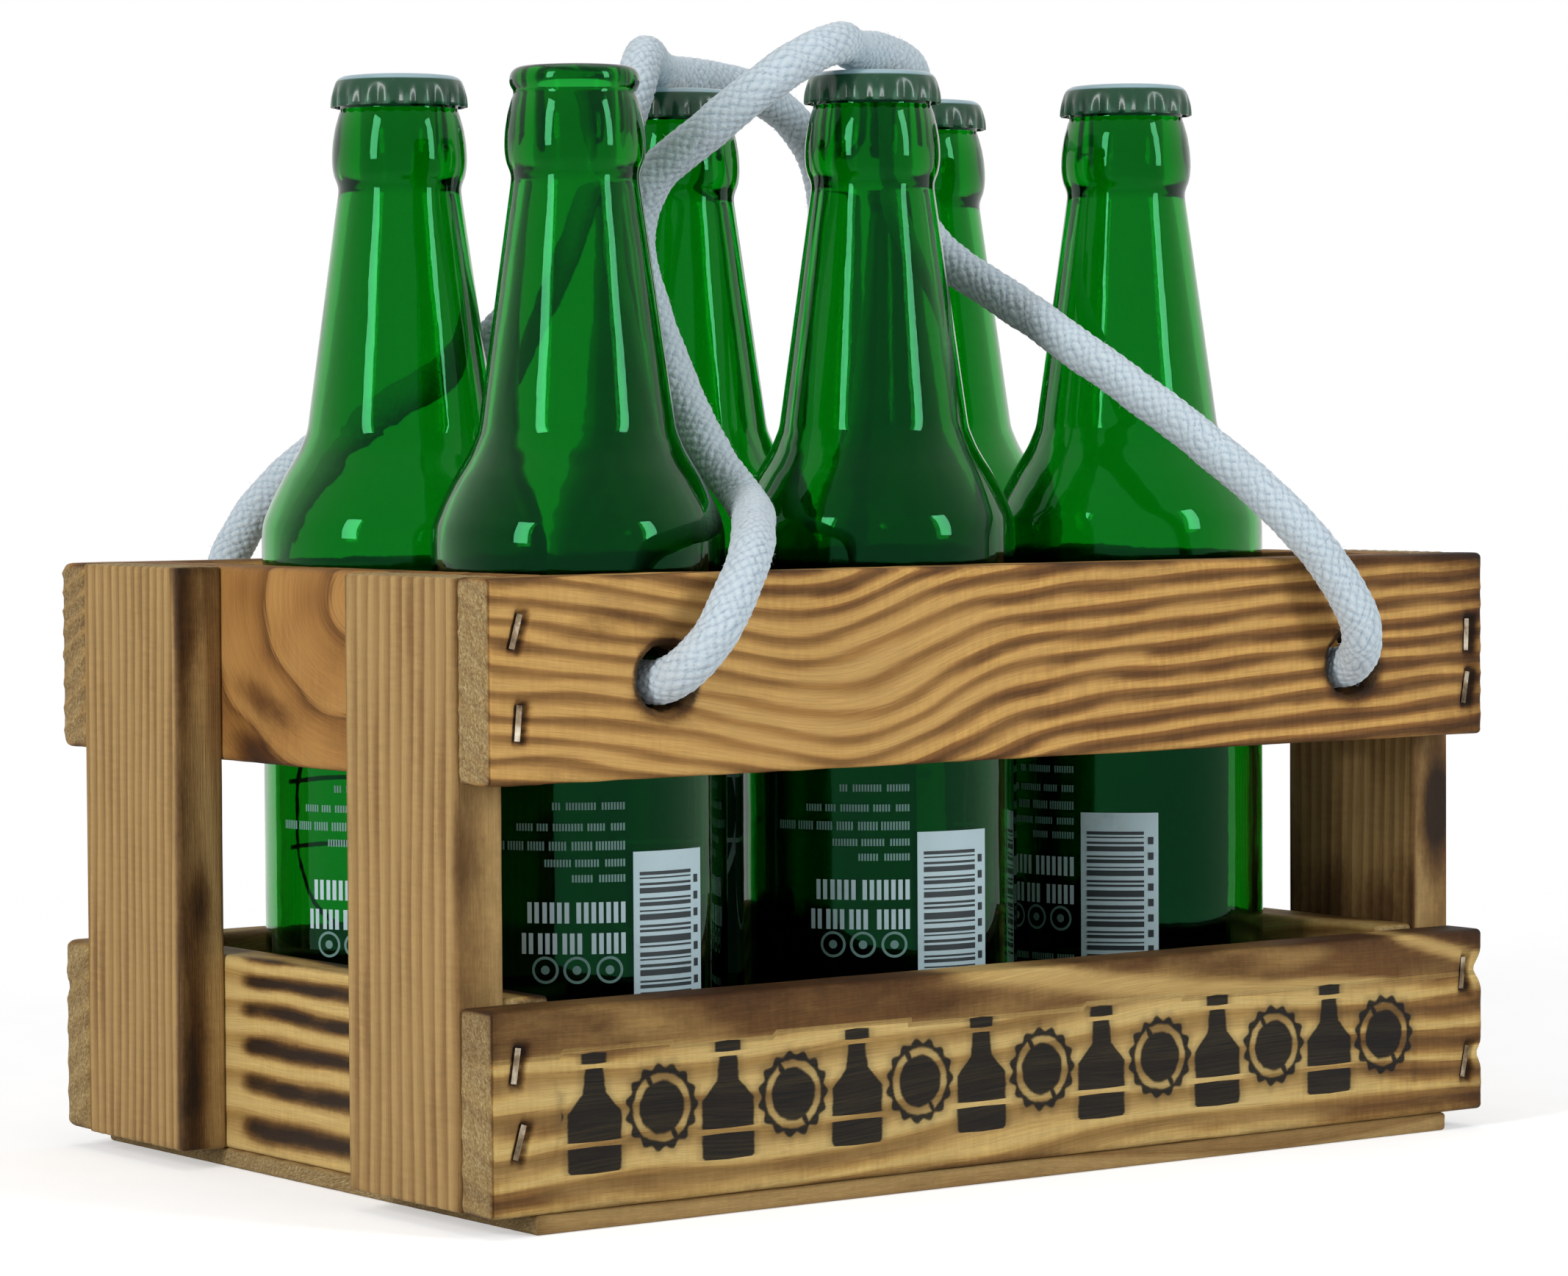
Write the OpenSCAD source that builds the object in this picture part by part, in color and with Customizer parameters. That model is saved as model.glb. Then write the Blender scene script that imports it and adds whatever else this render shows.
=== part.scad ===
// Wooden six pack carrier with rope handles and six long neck bottles.
// X runs along the long slats, Y from front to back, Z up from the table.

/* [Crate] */
// Play of three bottles along the crate
play_x = 37.7; // [20:0.1:60]
// Play of two bottles across the crate
play_y = 28.6; // [15:0.1:45]
// Height of the top of the slats above the table
crate_height = 127.6; // [100:0.2:160]
// Thickness of the four long slats
slat_thickness = 11.4; // [8:0.2:16]
// Height of one long slat
slat_height = 40.2; // [30:0.2:50]
// Thickness of the end boards
end_thickness = 10.7; // [8:0.1:15]
// Height of the end boards and of the lower back slat
end_height = 41.2; // [30:0.2:50]
// Thickness of the corner posts
post_thickness = 10.7; // [8:0.1:15]
// Width of the corner posts
post_width = 41.2; // [25:0.2:55]
// Thickness of the base board
base_thickness = 4; // [3:0.1:8]
// How far the base board stays inside the slat faces
base_inset = 0.6; // [0:0.1:2]
// Radius of the worn slat edges
edge_radius = 2.4; // [0.5:0.1:4]
// Radius of the long edges of the end boards
small_radius = 1.2; // [0.4:0.1:2]
// Radius of the edges of the posts
post_radius = 0.8; // [0.3:0.1:2]
// Radius of the groove along the lower back slat
groove_radius = 2.6; // [1:0.1:4]
// Distance of that groove below the slat's top edge
groove_drop = 10.6; // [5:0.2:20]

/* [Staples] */
// Length of the staple crown
crown_length = 7; // [5:0.1:10]
// Width of the staple wire
wire_width = 1.3; // [0.8:0.1:2]
// Thickness of the staple wire
wire_thickness = 1; // [0.6:0.1:1.6]
// How far a staple reaches into the second piece
bite = 12; // [8:0.5:14]
// Depth of the slit over a driven crown
slit_depth = 1.2; // [0.4:0.1:2]
// Depth of the shallow slit under the base and inside the ends
shallow_slit = 0.4; // [0.2:0.1:1]

/* [Rope] */
// Diameter of both rope handles
rope_diameter = 9; // [7:0.1:9.4]
// Play of the rope in its hole
hole_play = 4; // [3:0.1:8]
// Radius of the rounded hole mouths
mouth_radius = 2; // [0.4:0.1:2.4]
// Length of the rope tail below a knot
tail_length = 24; // [12:1:40]

/* [Bottles] */
// Diameter of a bottle body
body_diameter = 60.5; // [56:0.1:66]
// Height of the straight body
body_height = 130; // [110:1:140]
// Height of the glass
glass_height = 226; // [215:1:240]
// Wall thickness of the body
wall = 2.4; // [1.8:0.1:4]
// Radius of the rounded heel
heel_radius = 3; // [1.5:0.1:6]
// Radius of the bore at the lip
bore_radius = 8.2; // [7.5:0.1:9]
// Radius of the lip bead that the cap grips
bead_radius = 13.4; // [13:0.05:14]
// Depth of the hollow in the bottom
punt_depth = 4; // [2:0.2:8]

/* [Caps] */
// Number of flutes on a cap
flutes = 21; // [18:1:24]
// Clearance between the lip bead and the cap
cap_clearance = 0.25; // [0.1:0.05:0.5]
// Thickness of the cap sheet
cap_sheet = 0.35; // [0.2:0.05:0.6]
// How far the flutes stand out at the skirt
flute_depth = 0.75; // [0.3:0.05:1.5]
// Height of the whole cap
cap_height = 6.5; // [6:0.1:7]
// Thickness of the metal on top
cap_plate = 0.7; // [0.4:0.1:1]
// Thickness of the liner
liner_thickness = 1.3; // [0.8:0.1:1.6]

/* [Hidden] */
$fn = 64;
crate_length = 3 * body_diameter + play_x + 2 * (end_thickness + post_thickness);
crate_depth = 2 * body_diameter + play_y + 2 * slat_thickness;
half_l = crate_length / 2;
half_d = crate_depth / 2;
in_y = half_d - slat_thickness;
post_in = half_l - post_thickness;
end_in = post_in - end_thickness;
upper_z = crate_height - slat_height;
upper_end_z = crate_height - end_height;
post_mid = in_y - post_width / 2;
body_r = body_diameter / 2;
rope_r = rope_diameter / 2;
knot_r = 0.84 * rope_diameter;
hole_r = (rope_diameter + hole_play) / 2;
cap_bore = bead_radius + cap_clearance;
valley_radius = cap_bore + cap_sheet;
skirt_radius = valley_radius + flute_depth;

// rope holes, x and z: distances from the slat ends and from the top
front_holes = [[42 - half_l, crate_height - 20.6], [half_l - 39, crate_height - 23.6]];
back_holes = [[42 - half_l, crate_height - 20.6], [half_l - 41, crate_height - 21.6]];

// staples of the slats: end, share of the post thickness in from the end,
// board (0 lower, 1 upper), share of the board height, tilt
front_nails = [
  [-1, 0.69, 1, 0.74, 16], [-1, 0.73, 1, 0.3, 5], [1, 0.38, 1, 0.55, 2], [1, 0.41, 1, 0.26, 10],
  [-1, 0.69, 0, 0.36, 17], [-1, 0.62, 0, 0.73, 9], [1, 0.5, 0, 0.76, 6], [1, 0.43, 0, 0.27, 12]];
back_nails = [
  [-1, 0.65, 1, 0.72, -8], [-1, 0.54, 1, 0.26, 4], [1, 0.6, 1, 0.69, 12], [1, 0.48, 1, 0.24, -6],
  [-1, 0.56, 0, 0.57, 7], [-1, 0.63, 0, 0.22, -10], [1, 0.52, 0, 0.6, -5], [1, 0.58, 0, 0.21, 9]];
end_nail_rows = [[upper_end_z, 0.23], [upper_end_z, 0.75], [base_thickness, 0.24], [base_thickness, 0.76]];
base_nail_x = [-0.75, -0.26, 0.24, 0.73];
base_nail_y = [-0.53, 0.55];

// bottles: cell column, cell row, shift in the cell as a share of its play
cell_x = body_diameter + play_x / 3;
cell_y = body_diameter + play_y / 2;
stands = [
  [-1, -0.5, -0.233, 0.12], [0, -0.5, 0.135, 0.245], [1, -0.5, 0.392, 0.727],
  [-1, 0.5, -0.392, -0.587], [0, 0.5, -0.064, -0.077], [1, 0.5, -0.149, 0.07]];
places = [for (s = stands)
  [s[0] * cell_x + s[2] * play_x / 3, s[1] * cell_y + s[3] * play_y / 2]];

// outside of a bottle: shoulder rings above the body, finish rings below the lip
shoulder = [
  [30.25, 0], [29.9, 2.6], [28.9, 5], [27.8, 7.5], [26.5, 10], [25.1, 12.6],
  [23.5, 15.2], [22.05, 17.7], [21.1, 20], [20.3, 22]];
finish = [
  [-0.3, 22.5], [0.1, 21], [0.7, 19.6], [1.05, 17.5], [1.1, 15.2], [0.9, 12.5], [0.4, 9.5],
  [-0.4, 6.6], [-0.8, 5.6], [-0.8, 4.9], [-0.4, 4.3], [-0.05, 3.4], [0, 2.6], [-0.2, 1.5],
  [-0.8, 0.6], [-1.7, 0.1], [-2.4, 0]];
heel = [for (a = [-90:15:0])
  [body_r - heel_radius + heel_radius * cos(a), heel_radius + heel_radius * sin(a)]];
body_scale = body_r / 30.25;
outside = concat(
  [[0, punt_depth], [body_r * 0.33, punt_depth * 0.92], [body_r * 0.6, punt_depth * 0.6],
    [body_r * 0.75, punt_depth * 0.2], [body_r * 0.79, 0]],
  heel,
  [for (p = shoulder) [p[0] * body_scale, body_height + p[1]]],
  [for (p = finish) [bead_radius + p[0], glass_height - p[1]]]);
inside = [
  [bore_radius + 1, glass_height], [bore_radius + 0.2, glass_height - 0.5],
  [bore_radius, glass_height - 1.6], [bore_radius + 0.3, glass_height - 14],
  [bead_radius - 0.3 - wall, glass_height - 24],
  for (k = [len(shoulder) - 1:-2:1])
    [shoulder[k][0] * body_scale - wall, body_height + shoulder[k][1] - wall * 0.3],
  [body_r - wall, body_height - 2], [body_r - wall, heel_radius + wall + 3],
  [body_r - wall - 1.2, heel_radius + wall + 1], [body_r - wall - 4, heel_radius + wall - 0.4],
  [body_r * 0.6, punt_depth * 0.6 + wall + 0.6], [body_r * 0.33, punt_depth * 0.92 + wall + 0.6],
  [0, punt_depth + wall + 0.6]];

// ring points of the two ropes, from hole to hole
front_route = [
  [-89, -74.8, 106], [-89, -79, 106], [-88.5, -84.5, 106.5], [-87.5, -90, 109],
  [-83.5, -94, 115], [-77, -93, 124], [-69, -87, 132], [-60, -75, 136], [-50.5, -62, 138],
  [-42, -47, 141], [-40, -33, 150], [-40, -22, 163], [-42, -15, 178], [-45, -12, 194],
  [-45, -18, 208], [-38, -30, 219], [-28, -39, 229.5], [-17, -40, 235.5], [-8, -36, 237.5],
  [3, -26, 237], [17, -19, 237], [29, -12, 233], [34, -4, 221], [34, -3, 207], [37, -13, 194],
  [42.5, -31, 183], [48, -48, 172], [55, -63, 161], [63, -77, 149], [71, -88, 137],
  [79, -93, 126], [85.5, -95, 115], [89, -92, 108], [91.5, -86, 104], [92, -79, 103],
  [92, -74.8, 103]];
back_route = [
  [-89, 74.8, 106], [-89, 79, 106], [-88.5, 84.5, 107], [-87.5, 90, 110], [-85.5, 95, 117],
  [-82, 97, 127], [-76, 95, 138], [-69, 88, 148], [-62, 78, 156], [-55, 65, 163],
  [-48, 51, 170], [-44, 38, 180], [-39, 27, 193], [-33, 20, 208], [-25, 19, 226],
  [-15, 28, 238], [-3, 42, 238], [10, 55, 237], [26, 63, 237], [43, 68, 235], [58, 71, 228],
  [70, 77, 217], [78, 85, 202], [84, 92, 186], [89, 98, 168], [92, 101, 150], [93, 101, 133],
  [92, 97, 118], [91, 90.5, 109.5], [90, 84.5, 106], [90, 79, 105], [90, 74.8, 105]];

wood = [0.72, 0.52, 0.3];
pale_wood = [0.8, 0.64, 0.42];
steel = [0.6, 0.6, 0.58];
cotton = [0.87, 0.89, 0.9];
glass = [0.02, 0.42, 0.08];
cap_green = [0.03, 0.24, 0.12];

// flat rounded rectangle in one corner
module soft_rect(w, h, r) {
  translate([r, 0]) square([w - 2 * r, h]);
  translate([0, r]) square([w, h - 2 * r]);
  for (x = [r, w - r], y = [r, h - r]) translate([x, y]) circle(r);
}

// board from a corner: rounded in the XZ view and in the YZ view
module board_x(l, t, h, r_end, r_long) {
  intersection() {
    translate([0, t, 0]) rotate([90, 0, 0]) linear_extrude(t) soft_rect(l, h, r_end);
    translate([0, 0, 0]) rotate([90, 0, 90]) linear_extrude(l) soft_rect(t, h, r_long);
  }
}

// the same with its length along Y
module board_y(l, t, h, r_end, r_long) {
  translate([t, 0, 0]) rotate([0, 0, 90]) board_x(l, t, h, r_end, r_long);
}

// one staple at the origin: crown on the XZ plane, legs towards +Y
module staple(legs) {
  translate([-wire_width / 2, 0, -crown_length / 2]) cube([wire_width, wire_thickness, crown_length]);
  for (z = [-crown_length / 2, crown_length / 2 - wire_width])
    translate([-wire_width / 2, 0, z]) cube([wire_width, legs, wire_width]);
}

// slit above the crown of a driven staple
module slit() {
  translate([-wire_width / 2, -slit_depth - 1, -crown_length / 2])
    cube([wire_width, slit_depth + 1.001, crown_length]);
}

// side -1 is the front, 1 the back
module at_nail(n, side) {
  h = side > 0 && n[2] == 0 ? end_height : slat_height;
  z = n[2] > 0 ? upper_z : base_thickness;
  translate([n[0] * (half_l - n[1] * post_thickness), side * (half_d - slit_depth), z + n[3] * h])
    rotate([0, n[4], side > 0 ? 180 : 0]) children();
}

module slat_staples(rows, side) {
  for (n = rows) at_nail(n, side) staple(slat_thickness + bite - slit_depth);
}

module slat_slits(rows, side) {
  for (n = rows) at_nail(n, side) slit();
}

// staples driven from inside the end boards into the posts
module end_staple_set(sx, slits) {
  for (row = end_nail_rows, sy = [-1, 1])
    translate([sx * (end_in + shallow_slit), sy * (post_mid + 4), row[0] + row[1] * end_height])
      rotate([8 * sy, 0, sx > 0 ? -90 : 90]) {
        if (slits) slit();
        staple(end_thickness + post_thickness * 0.6);
      }
}

// staples driven up through the base board
module base_staple_set(slits) {
  for (x = base_nail_x, sy = [-1, 1])
    translate([x * half_l, sy * (half_d - slat_thickness / 2), shallow_slit]) rotate([90, 0, 90]) {
      if (slits) slit();
      staple(base_thickness + bite - shallow_slit);
    }
  for (y = base_nail_y, sx = [-1, 1])
    translate([sx * (end_in + end_thickness / 2), y * half_d, shallow_slit]) rotate([90, 0, 0]) {
      if (slits) slit();
      staple(base_thickness + bite - shallow_slit);
    }
}

// a rope hole with rounded mouths, axis along Y through the origin
module rope_hole() {
  t = slat_thickness;
  r = hole_r;
  m = mouth_radius;
  rotate([90, 0, 0]) rotate_extrude() difference() {
    translate([0, -t / 2 - 1]) square([r + m, t + 2]);
    translate([r, -t / 2 + m]) square([m + 1, t - 2 * m]);
    for (s = [-1, 1]) translate([r + m, s * (t / 2 - m)]) circle(m);
  }
}

module upper_slat(side, holes, nails) {
  color(wood) difference() {
    translate([-half_l, side > 0 ? in_y : -half_d, upper_z])
      board_x(crate_length, slat_thickness, slat_height, edge_radius, edge_radius);
    for (h = holes) translate([h[0], side * (half_d - slat_thickness / 2), h[1]]) rope_hole();
    slat_staples(nails, side);
    slat_slits(nails, side);
  }
}

module base_board() {
  color(pale_wood) difference() {
    translate([-post_in, -half_d + base_inset, 0]) linear_extrude(base_thickness)
      soft_rect(2 * post_in, crate_depth - 2 * base_inset, edge_radius);
    base_staple_set(true);
  }
}

module front_upper_slat() { upper_slat(-1, front_holes, front_nails); }
module back_upper_slat() { upper_slat(1, back_holes, back_nails); }

module front_lower_slat() {
  color(pale_wood) difference() {
    translate([-half_l, -half_d, base_thickness])
      board_x(crate_length, slat_thickness, slat_height, edge_radius, edge_radius);
    slat_staples(front_nails, -1);
    slat_slits(front_nails, -1);
    base_staple_set(false);
  }
}

module back_lower_slat() {
  color(pale_wood) difference() {
    translate([-half_l, in_y, base_thickness])
      board_x(crate_length, slat_thickness, end_height, edge_radius, edge_radius);
    translate([-half_l - 1, half_d, base_thickness + end_height - groove_drop]) rotate([0, 90, 0])
      cylinder(r = groove_radius, h = crate_length + 2);
    slat_staples(back_nails, 1);
    slat_slits(back_nails, 1);
    base_staple_set(false);
  }
}

module end_board(sx, z) {
  color(wood) difference() {
    translate([sx > 0 ? end_in : -post_in, -in_y, z])
      board_y(2 * in_y, end_thickness, end_height, 0.4, small_radius);
    end_staple_set(sx, true);
    base_staple_set(false);
  }
}

module left_upper_end() { end_board(-1, upper_end_z); }
module left_lower_end() { end_board(-1, base_thickness); }
module right_upper_end() { end_board(1, upper_end_z); }
module right_lower_end() { end_board(1, base_thickness); }

module post(sx, sy) {
  h = crate_height - base_thickness;
  color(wood) difference() {
    translate([sx > 0 ? post_in : -half_l, sy > 0 ? in_y - post_width : -in_y, base_thickness])
      intersection() {
        rotate([90, 0, 90]) linear_extrude(post_thickness) soft_rect(post_width, h, post_radius);
        linear_extrude(h) soft_rect(post_thickness, post_width, post_radius);
      }
    slat_staples(front_nails, -1);
    slat_staples(back_nails, 1);
    end_staple_set(sx, false);
  }
}

module front_left_post() { post(-1, -1); }
module front_right_post() { post(1, -1); }
module back_left_post() { post(-1, 1); }
module back_right_post() { post(1, 1); }

module front_staples() { color(steel) slat_staples(front_nails, -1); }
module back_staples() { color(steel) slat_staples(back_nails, 1); }
module end_staples() { color(steel) for (sx = [-1, 1]) end_staple_set(sx, false); }
module base_staples() { color(steel) base_staple_set(false); }

// tube around a list of points, rings square to the path
function unit(v) = v / norm(v);
function heading(q, i) =
  i == 0 ? unit(q[1] - q[0]) :
  i == len(q) - 1 ? unit(q[i] - q[i - 1]) :
  unit(unit(q[i + 1] - q[i]) + unit(q[i] - q[i - 1]));
function square_to(v, t) = unit(v - (v * t) * t);

module tube(q, r, sides) {
  n = len(q);
  t = [for (i = [0:n - 1]) heading(q, i)];
  side = [for (i = 0, s = square_to([1, 0, 0.2], t[0]); i < n;
    i = i + 1, s = i < n ? square_to(s, t[i]) : s) s];
  ring = [for (i = [0:n - 1], k = [0:sides - 1])
    q[i] + r * (cos(360 * k / sides) * side[i] + sin(360 * k / sides) * cross(t[i], side[i]))];
  skin = [for (i = [0:n - 2], k = [0:sides - 1]) let (
      a = i * sides + k, b = i * sides + (k + 1) % sides, c = a + sides, d = b + sides)
    each [[a, c, b], [b, c, d]]];
  start = [for (k = [0:sides - 1]) k];
  end = [for (k = [sides - 1:-1:0]) (n - 1) * sides + k];
  polyhedron(points = ring, faces = concat(skin, [start], [end]), convexity = 6);
}

module front_rope() { color(cotton) tube(front_route, rope_r, 10); }
module back_rope() { color(cotton) tube(back_route, rope_r, 10); }

// stopper knot behind a hole: stub, knot and hanging tail
module knot(hole, side, lean, drop) {
  zk = hole[1] - 1;
  y0 = side * in_y;
  stub = knot_r - 1.3;
  y1 = side * (in_y - stub);
  y2 = side * (in_y - knot_r - 0.4);
  color(cotton) {
    translate([hole[0], y0, zk]) rotate([side * 90, 0, 0]) cylinder(r = rope_r, h = stub);
    translate([hole[0], y1, zk]) sphere(rope_r);
    translate([hole[0] + lean, y2, zk - drop]) sphere(knot_r);
    hull() {
      translate([hole[0], y1, zk]) sphere(rope_r - 0.2, $fn = 16);
      translate([hole[0] + lean, y2, zk - drop]) sphere(rope_r - 0.2, $fn = 16);
    }
    translate([hole[0] + lean, y2, zk - drop - tail_length]) cylinder(r = rope_r - 0.3, h = tail_length);
  }
}

module front_left_knot() { knot(front_holes[0], -1, -9.6, 2); }
module front_right_knot() { knot(front_holes[1], -1, 7, 3); }
module back_left_knot() { knot(back_holes[0], 1, -9.2, 2); }
module back_right_knot() { knot(back_holes[1], 1, 9.6, 3); }

module bottle(i) {
  color(glass) translate([places[i][0], places[i][1], base_thickness])
    rotate_extrude() polygon(concat(outside, inside));
}

// crown cap as one folded skin: outside rings up, then the bore back down
cap_z = glass_height + liner_thickness + cap_plate;
steps = flutes * 4;
cap_rings = [
  // height below the top, valley radius, ridge radius
  [cap_height, valley_radius, skirt_radius],
  [cap_height - 1.6, valley_radius - 0.05, skirt_radius - 0.2],
  [cap_height - 3.2, valley_radius - 0.05, valley_radius + 0.3],
  [cap_height - 4.6, valley_radius - 0.03, valley_radius + 0.04],
  [0.9, valley_radius - 0.15, valley_radius - 0.15],
  [0.25, valley_radius - 0.8, valley_radius - 0.8],
  [0, valley_radius - 2.2, valley_radius - 2.2]];

module cap(i) {
  n = len(cap_rings);
  outer = [for (c = cap_rings, k = [0:steps - 1]) let (
      w = (1 - cos(360 * k / 4)) / 2, r = c[1] + (c[2] - c[1]) * w, a = 360 * k / steps)
    [r * cos(a), r * sin(a), cap_z - c[0]]];
  bore = [for (z = [cap_z - cap_height, cap_z - cap_plate], k = [0:steps - 1])
    let (a = 360 * k / steps) [cap_bore * cos(a), cap_bore * sin(a), z]];
  b0 = n * steps;
  walls = [for (j = [0:n - 2], k = [0:steps - 1]) let (
      a = j * steps + k, b = j * steps + (k + 1) % steps)
    each [[a, a + steps, b], [b, a + steps, b + steps]]];
  rim = [for (k = [0:steps - 1]) let (m = (k + 1) % steps)
    each [[k, m, b0 + k], [m, b0 + m, b0 + k]]];
  tube_wall = [for (k = [0:steps - 1]) let (m = (k + 1) % steps)
    each [[b0 + k, b0 + m, b0 + steps + k], [b0 + m, b0 + steps + m, b0 + steps + k]]];
  top = [[for (k = [steps - 1:-1:0]) (n - 1) * steps + k]];
  ceiling = [[for (k = [0:steps - 1]) b0 + steps + k]];
  color(cap_green) translate([places[i][0], places[i][1], base_thickness])
    polyhedron(points = concat(outer, bore),
      faces = concat(walls, rim, tube_wall, top, ceiling), convexity = 4);
}

module liner(i) {
  color([0.8, 0.8, 0.78]) translate([places[i][0], places[i][1], base_thickness + glass_height])
    cylinder(r = cap_bore - 1, h = liner_thickness);
}

module front_left_bottle() { bottle(0); }
module front_middle_bottle() { bottle(1); }
module front_right_bottle() { bottle(2); }
module back_left_bottle() { bottle(3); }
module back_middle_bottle() { bottle(4); }
module back_right_bottle() { bottle(5); }
module front_middle_cap() { cap(1); }
module front_right_cap() { cap(2); }
module back_left_cap() { cap(3); }
module back_middle_cap() { cap(4); }
module back_right_cap() { cap(5); }
module front_middle_liner() { liner(1); }
module front_right_liner() { liner(2); }
module back_left_liner() { liner(3); }
module back_middle_liner() { liner(4); }
module back_right_liner() { liner(5); }

base_board();
front_upper_slat();
front_lower_slat();
back_upper_slat();
back_lower_slat();
left_upper_end();
left_lower_end();
right_upper_end();
right_lower_end();
front_left_post();
front_right_post();
back_left_post();
back_right_post();
front_staples();
back_staples();
end_staples();
base_staples();
front_rope();
back_rope();
front_left_knot();
front_right_knot();
back_left_knot();
back_right_knot();
front_left_bottle();
front_middle_bottle();
front_right_bottle();
back_left_bottle();
back_middle_bottle();
back_right_bottle();
front_middle_cap();
front_right_cap();
back_left_cap();
back_middle_cap();
back_right_cap();
front_middle_liner();
front_right_liner();
back_left_liner();
back_middle_liner();
back_right_liner();
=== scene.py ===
# Six pack carrier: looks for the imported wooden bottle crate. Lengths in the helpers are millimetres unless said.
import bpy
import math
import numpy as np
from mathutils import Matrix, Vector


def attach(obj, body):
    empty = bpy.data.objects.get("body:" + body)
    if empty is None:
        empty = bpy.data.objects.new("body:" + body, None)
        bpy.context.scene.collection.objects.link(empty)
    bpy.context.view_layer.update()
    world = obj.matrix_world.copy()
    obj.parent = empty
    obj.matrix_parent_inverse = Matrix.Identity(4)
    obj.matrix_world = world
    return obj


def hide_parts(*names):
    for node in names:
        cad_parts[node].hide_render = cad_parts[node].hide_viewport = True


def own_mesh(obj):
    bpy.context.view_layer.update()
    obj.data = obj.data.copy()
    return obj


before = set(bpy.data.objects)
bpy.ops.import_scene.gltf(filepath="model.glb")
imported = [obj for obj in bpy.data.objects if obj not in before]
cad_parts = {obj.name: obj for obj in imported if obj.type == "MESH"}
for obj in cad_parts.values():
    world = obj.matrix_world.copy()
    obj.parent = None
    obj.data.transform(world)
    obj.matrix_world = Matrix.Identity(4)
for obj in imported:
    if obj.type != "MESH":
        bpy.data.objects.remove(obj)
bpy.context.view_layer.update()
scene = bpy.context.scene
MM = 0.001

# sizes from part.scad, in mm: the crate's slats, end boards and posts
HALF_L, HALF_D, TOP, FOOT = 131.0, 86.2, 127.6, 4.0     # half length and depth, height, top of the base board
INNER_D, END_OUT, END_IN = 74.8, 120.3, 109.6           # inner faces of the slats, both faces of the end boards
UP_SLAT, LOW_SLAT = 87.4, 44.2                          # lower edge of the upper slats, top of the front lower slat
UP_END, LOW_END, WIDTH = 86.4, 45.2, 41.2               # the same for the end boards, which are as wide as a post
POST_IN = 33.6                                          # inner edge of a post
HOLES = {"front": ((-89, 107), (92, 104)), "back": ((-89, 107), (90, 106))}     # x and z of the rope holes
HOLE_R, MOUTH_R = 6.5, 2
ROPE_R, ROPE_SIDES = 4.5, 78


# ---- camera
CAMERA_AT, CAMERA_LENS = (-0.66045, -0.90831, 0.15568), 117.35
YAW, PITCH, ROLL = 0.6303, 0.0408, -0.0060              # radians: from +Y towards +X, downwards, round the view axis


def make_camera():
    ahead = Vector((math.sin(YAW) * math.cos(PITCH), math.cos(YAW) * math.cos(PITCH), -math.sin(PITCH)))
    level = Vector((math.cos(YAW), -math.sin(YAW), 0))
    above = level.cross(ahead)
    right = level * math.cos(ROLL) + above * math.sin(ROLL)
    up = above * math.cos(ROLL) - level * math.sin(ROLL)
    data = bpy.data.cameras.new("camera")
    data.lens = CAMERA_LENS
    data.sensor_width = 36
    data.sensor_fit = "HORIZONTAL"
    data.clip_start = 0.01
    cam = bpy.data.objects.new("camera", data)
    m = Matrix((right, up, -ahead)).transposed().to_4x4()
    m.translation = Vector(CAMERA_AT)
    cam.matrix_world = m
    scene.collection.objects.link(cam)
    scene.camera = cam


make_camera()


# ---- small helpers
def lin(v):
    v = v / 255
    return v / 12.92 if v <= 0.04045 else ((v + 0.055) / 1.055) ** 2.4


def rgb(r, g, b):
    return (lin(r), lin(g), lin(b), 1)


def grey(v):
    return (v, v, v, 1)


def smooth(x, xs, ys):
    """Smooth curve through given points, flat beyond them."""
    xs, ys = np.array(xs, float), np.array(ys, float)
    m = np.gradient(ys, xs)
    x = np.clip(x, xs[0], xs[-1])
    i = np.clip(np.searchsorted(xs, x) - 1, 0, len(xs) - 2)
    h = xs[i + 1] - xs[i]
    t = (x - xs[i]) / h
    return ((2 * t**3 - 3 * t**2 + 1) * ys[i] + (t**3 - 2 * t**2 + t) * h * m[i]
            + (3 * t**2 - 2 * t**3) * ys[i + 1] + (t**3 - t**2) * h * m[i + 1])


def step01(x, a, b):
    t = np.clip((x - a) / (b - a), 0, 1)
    return t * t * (3 - 2 * t)


def gauss(u, v, ru, rv):
    return np.exp(-(u / ru) ** 2 - (v / rv) ** 2)


def spots(u, v, rows):
    """Sum of soft spots, given as (strength, middle u, middle v, half width u, half width v)."""
    return sum(k * gauss(u - a, v - b, ru, rv) for k, a, b, ru, rv in rows)


def wob(a, b, seed, la=1.0, lb=1.0, n=7):
    """Slow random waves of about -1 to 1 over two coordinates; la and lb are their wavelengths."""
    rng = np.random.default_rng(seed)
    out = 0
    for i in range(n):
        f = 0.5 + 1.3 * rng.random(2)
        out = out + np.sin(2 * math.pi * (1 / la * f[0] * a * rng.choice((-1, 1)) + 1 / lb * f[1] * b + rng.random()))
    return out / math.sqrt(n) / 1.2


def unit(v):
    return v / np.linalg.norm(v, axis=1)[:, None]


def path_lengths(p):
    return np.r_[0, np.cumsum(np.linalg.norm(np.diff(p, axis=0), axis=1))]


def joined(parts):
    """One mesh from (verts, faces, values) of several."""
    faces, off = [], 0
    for v, f, h in parts:
        faces += [[i + off for i in q] for q in f]
        off += len(v)
    return np.vstack([q[0] for q in parts]), faces, np.concatenate([q[2] for q in parts])


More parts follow.
